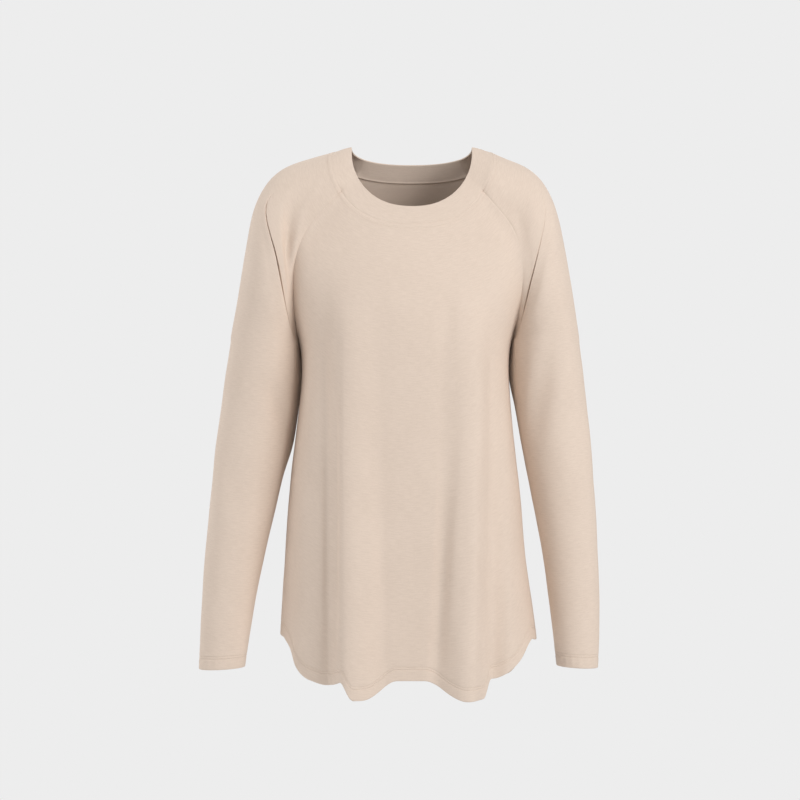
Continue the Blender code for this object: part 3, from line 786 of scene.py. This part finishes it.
def evened(ring, reach):
    """A closed ring of points with its corners rounded: each point is the mean of those within a reach."""
    run = grid_run(ring[None], 1)[0]
    gaps = np.diff(run)
    spacing = np.append((gaps + np.roll(gaps, 1)) / 2, 0)
    apart = np.abs(run[:, None] - run[None])
    weights = bump(np.minimum(apart, run[-1] - apart) / reach) * spacing
    return weights @ ring / weights.sum(axis=1, keepdims=True)


def grid_run(grid, axis):
    """Length of cloth from the first row, or the first column, to each point of a grid."""
    steps = np.linalg.norm(np.diff(grid, axis=axis), axis=2)
    start = np.zeros_like(np.take(steps, [0], axis=axis))
    return np.cumsum(np.concatenate((start, steps), axis=axis), axis=axis)


def measured(grid, rises, flipped, free_edge, side_seams):
    """A piece of cloth: its grid, its welded points and quads, and how far each point is from its edges."""
    rows, columns = grid.shape[:2]
    keys = np.round(grid.reshape(-1, 3) * MICROMETRES).astype(np.int64)
    _, first, same = np.unique(keys, axis=0, return_index=True, return_inverse=True)
    index = same.reshape(rows, columns)
    down = grid_run(grid, 0)
    across = grid_run(grid, 1)
    return {
        "grid": grid,
        "first": first,
        "index": index,
        "flipped": flipped,
        "rises": np.broadcast_to(rises, (rows, columns)).copy(),
        "down": down,
        "up": down[-1] - down,
        "across": across,
        "side": np.minimum(across, across[:, -1:] - across),
        "first_half": across <= across[:, -1:] / 2,
        "free_edge": free_edge,
        "side_seams": side_seams,
    }


def grid_quads(values):
    """The four corners of every cell of a grid of values, in one turning direction."""
    corners = (values[:-1, :-1], values[1:, :-1], values[1:, 1:], values[:-1, 1:])
    quads = np.stack(corners, axis=2)
    return quads.reshape((-1, 4) + values.shape[2:])


def piece_normals(piece):
    """Outward directions of a piece's welded points, laid out as its grid."""
    quads = grid_quads(piece["index"])
    points = piece["grid"].reshape(-1, 3)[piece["first"]]
    if piece["flipped"]:
        quads = quads[:, ::-1]
    corners = points[quads]
    faces = np.cross(corners[:, 2] - corners[:, 0], corners[:, 3] - corners[:, 1])
    normals = np.zeros_like(points)
    for corner in range(4):
        np.add.at(normals, quads[:, corner], faces)
    return unit(normals)[piece["index"]]


def share_normals(pieces, reach=0):
    """Give each piece its outward directions, shared where pieces meet and evened over a reach there."""
    meeting = {}
    for name, piece in pieces.items():
        piece["normals"] = piece_normals(piece)
        rows, columns = piece["index"].shape
        border = [(row, column) for row in range(rows) for column in (0, columns - 1)]
        border += [(row, column) for row in (0, rows - 1) for column in range(1, columns - 1)]
        for row, column in border:
            key = tuple(np.round(piece["seat"][row, column] * MICROMETRES).astype(np.int64))
            meeting.setdefault(key, []).append((name, row, column, piece["normals"][row, column].copy()))
    for places in meeting.values():
        for name, row, column, normal in places:
            alike = sum(other[3] for other in places if other[3] @ normal > SMOOTH_JOIN)
            pieces[name]["normals"][row, column] = unit(alike)
    for piece in pieces.values():
        if reach and piece["side_seams"]:
            piece["normals"] = settled_normals(piece, reach)


def cloth_pieces():
    """The five cut pieces on the smooth forms."""
    front, front_rises = panel_grid("front")
    back, back_rises = panel_grid("back")
    left, left_rises, left_rolls = sleeve_grid("left")
    right, right_rises, right_rolls = sleeve_grid("right")
    band = band_grid(front, back, left, right)
    pieces = {
        "front_panel": measured(front, front_rises, False, "hem", ("right", "left")),
        "back_panel": measured(back, back_rises, True, "hem", ("right", "left")),
        "sleeve_left": measured(left, left_rises, False, "cuff", ("left", "left")),
        "sleeve_right": measured(right, right_rises, True, "cuff", ("right", "right")),
        "neckband": measured(band, 0, True, "neck", ()),
    }
    pieces["front_panel"]["fine"] = stroke_rise("front", front[..., 0], front[..., 2])
    pieces["back_panel"]["fine"] = stroke_rise("back", back[..., 0], back[..., 2])
    pieces["sleeve_left"]["fine"] = left_rolls
    pieces["sleeve_right"]["fine"] = right_rolls
    pieces["neckband"]["fine"] = np.zeros(band.shape[:2])
    for piece in pieces.values():
        piece["seat"] = piece["grid"].copy()
    return pieces


def slack_rise(grid):
    """A slight unevenness, the same on all pieces at one place."""
    x, y, z = np.moveaxis(grid, 2, 0)
    rise = np.zeros(x.shape)
    for row in named(SLACK_COLUMNS, SLACK_WAVES):
        across = np.sin(2 * math.pi * (x / row["x_wave"] + z / row["x_slant"] + row["start"]))
        down = np.sin(2 * math.pi * (z / row["z_wave"] + y / row["z_slant"]))
        rise += row["share"] * across * down
    return rise


def settled_normals(piece, reach):
    """A piece's outward directions, turned evenly into those of its side edges near them."""
    normals = piece["normals"]
    edge = np.where(piece["first_half"][..., None], normals[:, :1], normals[:, -1:])
    away = ease(0, reach, piece["side"])[..., None]
    return unit(edge * (1 - away) + normals * away)


def seam_lift(piece):
    """Moves that fill or sink the valley along an armhole seam, in the seam's own direction beside it."""
    steps = yoke_steps()
    rest = np.zeros(len(piece["side"]) - len(steps))
    amounts = [
        np.concatenate((SEAM_LIFTS.at(side, steps), rest))[:, None]
        for side in piece["side_seams"]
    ]
    share = (1 - np.clip(piece["side"] / LIFT_REACH, 0, 1)) ** 2
    amount = np.where(piece["first_half"], *amounts) * share
    return settled_normals(piece, LIFT_REACH) * amount[..., None]


def sewing_rise(piece):
    """The sunken seams, the allowance beside them, the grooves under the stitches and the puckers."""
    distance = piece["down"]
    rise = -SEAM_DEPTH * bump(distance / SEAM_REACH)
    if piece["side_seams"]:
        raised = ease(0, SEAM_REACH, distance) * (1 - ease(NECK_LINE + LINE_FADE, ALLOWANCE_WIDTH, distance))
        rise += ALLOWANCE_RISE * raised - GROOVE_DEPTH * bump((distance - NECK_LINE) / GROOVE_REACH)
        steps = yoke_steps()
        depth = np.full(len(distance), RAGLAN_DEPTH)
        depth[:len(steps)] *= 1 - ease(*RAGLAN_FADE, steps)
        rise -= depth[:, None] * bump(piece["side"] / SEAM_REACH)
    lines = {"hem": HEM_LINES, "cuff": CUFF_LINES, "neck": ()}[piece["free_edge"]]
    for line in lines:
        rise -= GROOVE_DEPTH * bump((piece["up"] - line) / GROOVE_REACH)
    if lines:
        along = piece["across"][-1:] + 0 * piece["down"]
        drift = PUCKER_DRIFT * np.sin(along / DRIFT_LENGTH)
        wobble = np.sin(2 * math.pi * (along / PUCKER_LENGTH + drift))
        near = bump((piece["up"] - PUCKER_PLACE) / PUCKER_REACH) * ease(0, PUCKER_END, piece["side"])
        rise += PUCKER_HEIGHT * wobble * near
    return rise


def edge_wall(piece, settings):
    """Thickness of the cloth at each point of a grid."""
    if piece["free_edge"] == "neck":
        return np.full(piece["down"].shape, settings.band_wall)
    doubled = 1 - ease(settings.turn, settings.turn + LINE_FADE, piece["up"])
    return settings.cloth_wall + (settings.turned_wall - settings.cloth_wall) * doubled


def dressed_pieces(settings):
    """All pieces with their folds, creases and sewing, as outer and inner skins."""
    pieces = cloth_pieces()
    share_normals(pieces)
    for piece in pieces.values():
        piece["grid"] = piece["seat"] + piece["normals"] * piece["rises"][..., None]
    share_normals(pieces)
    for piece in pieces.values():
        if piece["side_seams"]:
            piece["grid"] = piece["grid"] + seam_lift(piece)
    share_normals(pieces, SETTLE_REACH)
    for piece in pieces.values():
        lift = settings.crease * piece["fine"] + settings.slack * slack_rise(piece["seat"])
        lift = lift + sewing_rise(piece)
        piece["grid"] = piece["grid"] + piece["normals"] * lift[..., None]
    share_normals(pieces, SETTLE_REACH)
    for piece in pieces.values():
        wall = edge_wall(piece, settings)
        radius = wall / 2
        near = 1 - np.clip(piece["up"] / radius, 0, 1)
        tuck = EDGE_TUCK * radius * (1 - np.sqrt(1 - near**2))
        piece["outer"] = piece["grid"] - piece["normals"] * tuck[..., None]
        piece["inner"] = piece["grid"] - piece["normals"] * (wall - tuck)[..., None]
    return pieces


def shell_mesh(name, piece, outside, inside):
    """A closed wall of cloth, with a map of its own length and width for the knit."""
    index = piece["index"]
    outer = piece["outer"].reshape(-1, 3)[piece["first"]]
    inner = piece["inner"].reshape(-1, 3)[piece["first"]]
    count = len(outer)
    places = np.stack((piece["across"] - piece["across"].mean(axis=1, keepdims=True), -piece["down"]), axis=2)
    quads = grid_quads(index)
    spots = grid_quads(places)
    if piece["flipped"]:
        quads = quads[:, ::-1]
        spots = spots[:, ::-1]
    starts = quads.reshape(-1)
    ends = np.roll(quads, -1, axis=1).reshape(-1)
    forward = starts * count + ends
    open_side = ~np.isin(forward, ends * count + starts)
    rim = np.stack((ends, starts, starts + count, ends + count), axis=1)[open_side]
    spot_starts = spots.reshape(-1, 2)
    spot_ends = np.roll(spots, -1, axis=1).reshape(-1, 2)
    rim_spots = np.stack((spot_ends, spot_starts, spot_starts, spot_ends), axis=1)[open_side]
    faces = np.concatenate((quads, quads[:, ::-1] + count, rim))
    mesh = bpy.data.meshes.new(name)
    mesh.from_pydata(np.concatenate((outer, inner)).tolist(), [], faces.tolist())
    layer = mesh.uv_layers.new(name="cloth", do_init=False)
    all_spots = np.concatenate((spots, spots[:, ::-1], rim_spots))
    layer.uv.foreach_set("vector", all_spots.astype(np.float32).ravel())
    mesh.materials.append(outside)
    mesh.materials.append(inside)
    which = np.zeros(len(faces), dtype=np.int32)
    which[len(quads):2 * len(quads)] = 1
    mesh.polygons.foreach_set("material_index", which)
    mesh.shade_smooth()
    mesh.set_sharp_from_angle(angle=math.radians(SHARP_DEGREES))
    free = piece["up"].reshape(-1)[piece["first"]] < 1e-9
    seams = np.stack((starts, ends), axis=1)[open_side]
    seams = seams[~free[seams].all(axis=1)]
    keep_sharp(mesh, np.concatenate((seams, seams + count)))
    mesh.validate()
    return mesh


def keep_sharp(mesh, edges):
    """Mark the sewn edges sharp, whatever angle their wall stands at."""
    corners = np.empty(2 * len(mesh.edges), dtype=np.int32)
    mesh.edges.foreach_get("vertices", corners)
    corners = np.sort(corners.reshape(-1, 2), axis=1).astype(np.int64)
    wanted = np.sort(edges, axis=1).astype(np.int64)
    span = len(mesh.vertices)
    found = np.isin(corners[:, 0] * span + corners[:, 1], wanted[:, 0] * span + wanted[:, 1])
    layer = mesh.attributes.get("sharp_edge") or mesh.attributes.new("sharp_edge", "BOOLEAN", "EDGE")
    sharp = np.zeros(len(mesh.edges), dtype=bool)
    layer.data.foreach_get("value", sharp)
    layer.data.foreach_set("value", sharp | found)


def place_shell(name, piece, outside, inside):
    """Put one shell in place of its solid."""
    shell = bpy.data.objects.new(name + "_cloth", shell_mesh(name + "_cloth", piece, outside, inside))
    bpy.context.collection.objects.link(shell)
    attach(shell, "root")
    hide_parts(name)
    return shell


def line_on(piece, field, level):
    """Points and outward directions where a rising field of a grid reaches a level, one to a column."""
    grid = piece["outer"]
    normals = piece["normals"]
    points = []
    directions = []
    for column in range(field.shape[1]):
        place = np.interp(level, field[:, column], np.arange(field.shape[0]))
        low = min(int(place), field.shape[0] - 2)
        part = place - low
        points.append(grid[low, column] * (1 - part) + grid[low + 1, column] * part)
        directions.append(normals[low, column] * (1 - part) + normals[low + 1, column] * part)
    return np.array(points), np.array(directions)


def stitch_row(points, normals, sewing):
    """Corners and faces of the stitches of one row, each a short round thread that dips in at both ends."""
    run = grid_run(points[None], 1)[0]
    pitch = sewing.length + sewing.gap
    radius = sewing.thread / 2
    middles = (np.arange(int(run[-1] / pitch)) + 0.5) * pitch

    def read(values, places):
        return np.stack([np.interp(places, run, values[:, axis]) for axis in range(3)], axis=1)

    along = unit(read(points, middles + pitch / 3) - read(points, middles - pitch / 3))
    up = read(normals, middles)
    up = unit(up - along * (up * along).sum(axis=1, keepdims=True))
    beside, along, up = (vectors[:, None, None] for vectors in (np.cross(along, up), along, up))
    place, thickness, height = np.array(STITCH_RINGS).T[:, :, None, None]
    angle = 2 * math.pi * np.arange(STITCH_SIDES)[:, None] / STITCH_SIDES
    centre = read(points, middles)[:, None, None] + along * place * sewing.length + up * height * radius
    ring = np.cos(angle) * beside + np.sin(angle) * up
    corners = (centre + ring * thickness * radius).reshape(-1, 3)

    last = (len(STITCH_RINGS) - 1) * STITCH_SIDES
    stitch = []
    for base in range(0, last, STITCH_SIDES):
        for side in range(STITCH_SIDES):
            a = base + side
            b = base + (side + 1) % STITCH_SIDES
            stitch.append((a, b, b + STITCH_SIDES, a + STITCH_SIDES))
    stitch += [tuple(range(STITCH_SIDES))[::-1], tuple(range(last, last + STITCH_SIDES))]
    starts = range(0, len(corners), last + STITCH_SIDES)
    return corners.tolist(), [tuple(start + corner for corner in face) for start in starts for face in stitch]


def stitch_piece(name, rows, sewing, material):
    """Join rows of stitches into one piece."""
    corners = []
    faces = []
    for points, normals in rows:
        more, sides = stitch_row(points, normals, sewing)
        faces += [tuple(len(corners) + corner for corner in face) for face in sides]
        corners += more
    mesh = bpy.data.meshes.new(name)
    mesh.from_pydata(corners, [], faces)
    mesh.materials.append(material)
    mesh.shade_smooth()
    stitches = bpy.data.objects.new(name, mesh)
    bpy.context.collection.objects.link(stitches)
    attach(stitches, "root")
    return stitches


class Nodes:
    """Adds shader nodes to a tree, each in one line."""

    def __init__(self, tree):
        self.tree = tree

    def fill(self, node, **inputs):
        """Set or link a node's inputs, each by name, with __ for a space, or by number after a _."""
        for name, value in inputs.items():
            socket = node.inputs[int(name[1:])] if name[0] == "_" else node.inputs[name.replace("__", " ")]
            if isinstance(value, bpy.types.NodeSocket):
                self.tree.links.new(value, socket)
            else:
                socket.default_value = value
        return node

    def add(self, kind, settings=None, **inputs):
        """A node of a kind, with its settings and its inputs."""
        node = self.tree.nodes.new(kind)
        for name, value in (settings or {}).items():
            setattr(node, name, value)
        return self.fill(node, **inputs)

    def maths(self, operation, *values):
        """The result of one sum."""
        inputs = {f"_{i}": value for i, value in enumerate(values)}
        return self.add("ShaderNodeMath", {"operation": operation}, **inputs).outputs[0]

    def scaled(self, value, share):
        """A value times its share."""
        return self.maths("MULTIPLY", value, share)

    def noise(self, dimensions, place, scale, detail, roughness=0.5):
        """The grey of a noise texture."""
        inputs = {"Vector": place, "Scale": scale, "Detail": detail, "Roughness": roughness}
        return self.add("ShaderNodeTexNoise", {"noise_dimensions": dimensions}, **inputs).outputs[0]

    def between(self, amount, first, second):
        """A colour between two."""
        inputs = {"_0": amount, "_6": (*first, 1), "_7": (*second, 1)}
        return self.add("ShaderNodeMix", {"data_type": "RGBA"}, **inputs).outputs[2]


def new_material(name):
    """A material with only its shader and output, the helper that adds to it, and its shader."""
    material = bpy.data.materials.new(name)
    material.use_nodes = True
    return material, Nodes(material.node_tree), material.node_tree.nodes["Principled BSDF"]


def jersey_material(name, colour, fleck, sheen):
    """Fine heathered jersey: soft streaks of fibre, rows of knitted loops and a short nap."""
    material, nodes, shader = new_material(name)
    spot = nodes.add("ShaderNodeUVMap", {"uv_map": "cloth"}).outputs[0]
    split = nodes.add("ShaderNodeSeparateXYZ", _0=spot).outputs

    wide = nodes.add("ShaderNodeMapping", _0=spot, _3=STREAK_SCALE).outputs[0]
    close = nodes.add("ShaderNodeMapping", _0=spot, _3=FIBRE_SCALE).outputs[0]
    streak = nodes.noise("2D", wide, 1.0, 3.0, 0.62)
    fibre = nodes.noise("2D", close, 1.0, 2.0)
    broad = nodes.noise("2D", spot, 11.0, 2.0)
    mixed = nodes.maths("ADD", nodes.scaled(streak, 0.62), nodes.scaled(fibre, 0.38))
    mixed = nodes.maths("ADD", mixed, nodes.scaled(nodes.maths("SUBTRACT", broad, 0.5), 0.25))
    amount = nodes.add("ShaderNodeMapRange", _0=mixed, _1=0.36, _2=0.66, _3=0.0, _4=FLECK_SHARE).outputs[0]

    wale = nodes.maths("ABSOLUTE", nodes.maths("SINE", nodes.scaled(split[0], math.pi / LOOP_WIDTH)))
    turn = nodes.maths("ADD", nodes.scaled(split[1], 2 * math.pi / LOOP_HEIGHT), nodes.scaled(wale, 1.6))
    course = nodes.maths("MULTIPLY_ADD", nodes.maths("SINE", turn), 0.3, 0.7)
    nap = nodes.noise("3D", spot, 2400.0, 2.0)
    height = nodes.maths("ADD", nodes.scaled(nap, 0.5), nodes.maths("MULTIPLY", wale, course))
    height = nodes.maths("ADD", height, nodes.scaled(streak, 0.5))
    bumps = nodes.add("ShaderNodeBump", Strength=0.55, Distance=0.00008, Height=height).outputs[0]
    nodes.fill(
        shader, Base__Color=nodes.between(amount, colour, fleck), Normal=bumps,
        Roughness=0.92, Specular__IOR__Level=0.22,
        Sheen__Weight=sheen, Sheen__Roughness=0.5, Sheen__Tint=(1.0, 0.95, 0.90, 1),
    )
    return material


def thread_material(name, colour):
    """Twisted polyester thread."""
    material, nodes, shader = new_material(name)
    place = nodes.add("ShaderNodeTexCoord").outputs["Object"]
    waves = {"Vector": place, "Scale": 900.0, "Distortion": 1.5}
    twist = nodes.add("ShaderNodeTexWave", {"bands_direction": "DIAGONAL"}, **waves).outputs["Fac"]
    tone = nodes.noise("3D", place, 160.0, 1.0)
    amount = nodes.maths("ADD", nodes.scaled(twist, 0.5), nodes.scaled(tone, 0.5))
    dark = tuple(0.86 * part for part in colour)
    bumps = nodes.add("ShaderNodeBump", Strength=0.4, Distance=0.00005, Height=twist).outputs[0]
    nodes.fill(
        shader, Base__Color=nodes.between(amount, dark, colour), Normal=bumps, Roughness=0.6,
        Specular__IOR__Level=0.4,
    )
    return material


def paper_material(name, colour):
    """Matt studio paper with a faint grain."""
    material, nodes, shader = new_material(name)
    grain = nodes.noise("3D", nodes.add("ShaderNodeTexCoord").outputs["Object"], 3.0, 4.0)
    paper = nodes.between(grain, tuple(0.98 * part for part in colour), colour)
    nodes.fill(shader, Base__Color=paper, Roughness=1.0, Specular__IOR__Level=0.1)
    return material


def material_of(name, maker, *values):
    """The material of that name, made once."""
    return bpy.data.materials.get(name) or maker(name, *values)


def make_shells(context, names, slot):
    """Make the shells of some pieces. A doubled piece shows the right side of the jersey inside too."""
    cloth = context.scene.raglan_cloth
    pieces = dressed_pieces(cloth)
    outside = material_of("heathered_jersey", jersey_material, cloth.jersey, cloth.fleck, 0.12)
    inside = outside
    if slot == "jersey":
        inside = material_of("jersey_wrong_side", jersey_material, cloth.inside, cloth.fleck, 0.06)
    for name in names:
        place_shell(name, pieces[name], outside, inside)


class RAGLAN_OT_body_panels(bpy.types.Operator):
    """Make the front and the back panel"""

    bl_idname = "raglan.body_panels"
    bl_label = "Front and Back Panels"

    def execute(self, context):
        make_shells(context, ("front_panel", "back_panel"), "jersey")
        return {"FINISHED"}


class RAGLAN_OT_sleeves(bpy.types.Operator):
    """Make both sleeves"""

    bl_idname = "raglan.sleeves"
    bl_label = "Sleeves"

    def execute(self, context):
        make_shells(context, ("sleeve_left", "sleeve_right"), "jersey")
        return {"FINISHED"}


class RAGLAN_OT_neckband(bpy.types.Operator):
    """Make the doubled band round the neck"""

    bl_idname = "raglan.neckband"
    bl_label = "Neckband"

    def execute(self, context):
        make_shells(context, ("neckband",), "band_jersey")
        return {"FINISHED"}


class RAGLAN_OT_stitching(bpy.types.Operator):
    """Make the rows of stitches at the neck, the hem and the cuffs"""

    bl_idname = "raglan.stitching"
    bl_label = "Stitching"

    def execute(self, context):
        cloth = context.scene.raglan_cloth
        sewing = context.scene.raglan_sewing
        pieces = dressed_pieces(cloth)
        thread = material_of("sewing_thread", thread_material, sewing.colour)
        rows = {"neck_stitches": [], "hem_stitches": [], "cuff_stitches": []}
        for piece in pieces.values():
            if not piece["side_seams"]:
                continue
            rows["neck_stitches"].append(line_on(piece, piece["down"], NECK_LINE))
            edge = piece["free_edge"]
            for line in HEM_LINES if edge == "hem" else CUFF_LINES:
                upward = {key: piece[key][::-1] for key in ("outer", "normals")}
                rows[edge + "_stitches"].append(line_on(upward, piece["up"][::-1], line))
        for name, lines in rows.items():
            stitch_piece(name, lines, sewing, thread)
        return {"FINISHED"}


class RAGLAN_OT_studio(bpy.types.Operator):
    """Set up the camera, the lamps, the backdrop and the floor"""

    bl_idname = "raglan.studio"
    bl_label = "Studio"

    def execute(self, context):
        scene = context.scene
        studio = scene.raglan_studio
        camera = bpy.data.objects.new("camera", bpy.data.cameras.new("camera"))
        context.collection.objects.link(camera)
        camera.location = CAMERA_PLACE
        camera.rotation_euler = (math.pi / 2, 0, 0)
        camera.data.sensor_width = SENSOR_WIDTH
        camera.data.lens = -CAMERA_PLACE[1] * SENSOR_WIDTH / VIEW_WIDTH
        scene.camera = camera
        aim = Vector((0, 0, CAMERA_PLACE[2]))
        for row in named(LAMP_COLUMNS, LAMPS):
            lamp = bpy.data.lights.new(row["name"], "AREA")
            lamp.size = row["size"]
            lamp.energy = studio.key * row["share"]
            stand = bpy.data.objects.new(row["name"], lamp)
            stand.location = row["place"]
            stand.rotation_euler = (aim - Vector(row["place"])).to_track_quat("-Z", "Y").to_euler()
            context.collection.objects.link(stand)
        self.light_room(scene, studio)
        self.lay_floor(context, studio)
        return {"FINISHED"}

    def light_room(self, scene, studio):
        """A pale room that lights the garment evenly."""
        world = bpy.data.worlds.new("pale_room")
        world.use_nodes = True
        scene.world = world
        tree = world.node_tree
        tree.nodes.clear()
        nodes = Nodes(tree)
        colour = (*studio.backdrop, 1)
        seen = nodes.add("ShaderNodeBackground", _0=colour, _1=1.0).outputs[0]
        light = nodes.add("ShaderNodeBackground", _0=(1, 1, 1, 1), _1=studio.fill).outputs[0]
        path = nodes.add("ShaderNodeLightPath").outputs["Is Camera Ray"]
        mixed = nodes.add("ShaderNodeMixShader", _0=path, _1=light, _2=seen).outputs[0]
        nodes.add("ShaderNodeOutputWorld", Surface=mixed)
        scene.view_settings.view_transform = "Standard"

    def lay_floor(self, context, studio):
        """A round pale floor, far below the garment."""
        corners = [
            (FLOOR_RADIUS * math.cos(turn), FLOOR_RADIUS * math.sin(turn), FLOOR_HEIGHT)
            for turn in np.linspace(0, 2 * math.pi, FLOOR_CORNERS, endpoint=False)
        ]
        mesh = bpy.data.meshes.new("floor")
        mesh.from_pydata(corners, [], [tuple(range(len(corners)))])
        mesh.materials.append(material_of("studio_paper", paper_material, studio.backdrop))
        floor = bpy.data.objects.new("floor", mesh)
        context.collection.objects.link(floor)


class RAGLAN_PT_panel(bpy.types.Panel):
    """Sizes, colours and makers of the top"""

    bl_label = "Raglan Top"
    bl_idname = "RAGLAN_PT_panel"
    bl_space_type = "VIEW_3D"
    bl_region_type = "UI"
    bl_category = "Raglan Top"

    def draw(self, context):
        for group in (context.scene.raglan_cloth, context.scene.raglan_sewing, context.scene.raglan_studio):
            box = self.layout.box()
            for name in group.bl_rna.properties.keys():
                if name not in ("rna_type", "name"):
                    box.prop(group, name)
        for maker in MAKERS:
            self.layout.operator(maker.bl_idname)


GROUPS = (RaglanTopCloth, RaglanTopSewing, RaglanTopStudio)
MAKERS = (
    RAGLAN_OT_studio,
    RAGLAN_OT_body_panels,
    RAGLAN_OT_sleeves,
    RAGLAN_OT_neckband,
    RAGLAN_OT_stitching,
)


def register():
    for kind in (*GROUPS, *MAKERS, RAGLAN_PT_panel):
        bpy.utils.register_class(kind)
    bpy.types.Scene.raglan_cloth = PointerProperty(type=RaglanTopCloth)
    bpy.types.Scene.raglan_sewing = PointerProperty(type=RaglanTopSewing)
    bpy.types.Scene.raglan_studio = PointerProperty(type=RaglanTopStudio)


def unregister():
    del bpy.types.Scene.raglan_cloth
    del bpy.types.Scene.raglan_sewing
    del bpy.types.Scene.raglan_studio
    for kind in reversed((*GROUPS, *MAKERS, RAGLAN_PT_panel)):
        bpy.utils.unregister_class(kind)


def main():
    register()
    bpy.ops.raglan.studio()
    bpy.ops.raglan.body_panels()
    bpy.ops.raglan.sleeves()
    bpy.ops.raglan.neckband()
    bpy.ops.raglan.stitching()


if __name__ == "__main__":
    main()
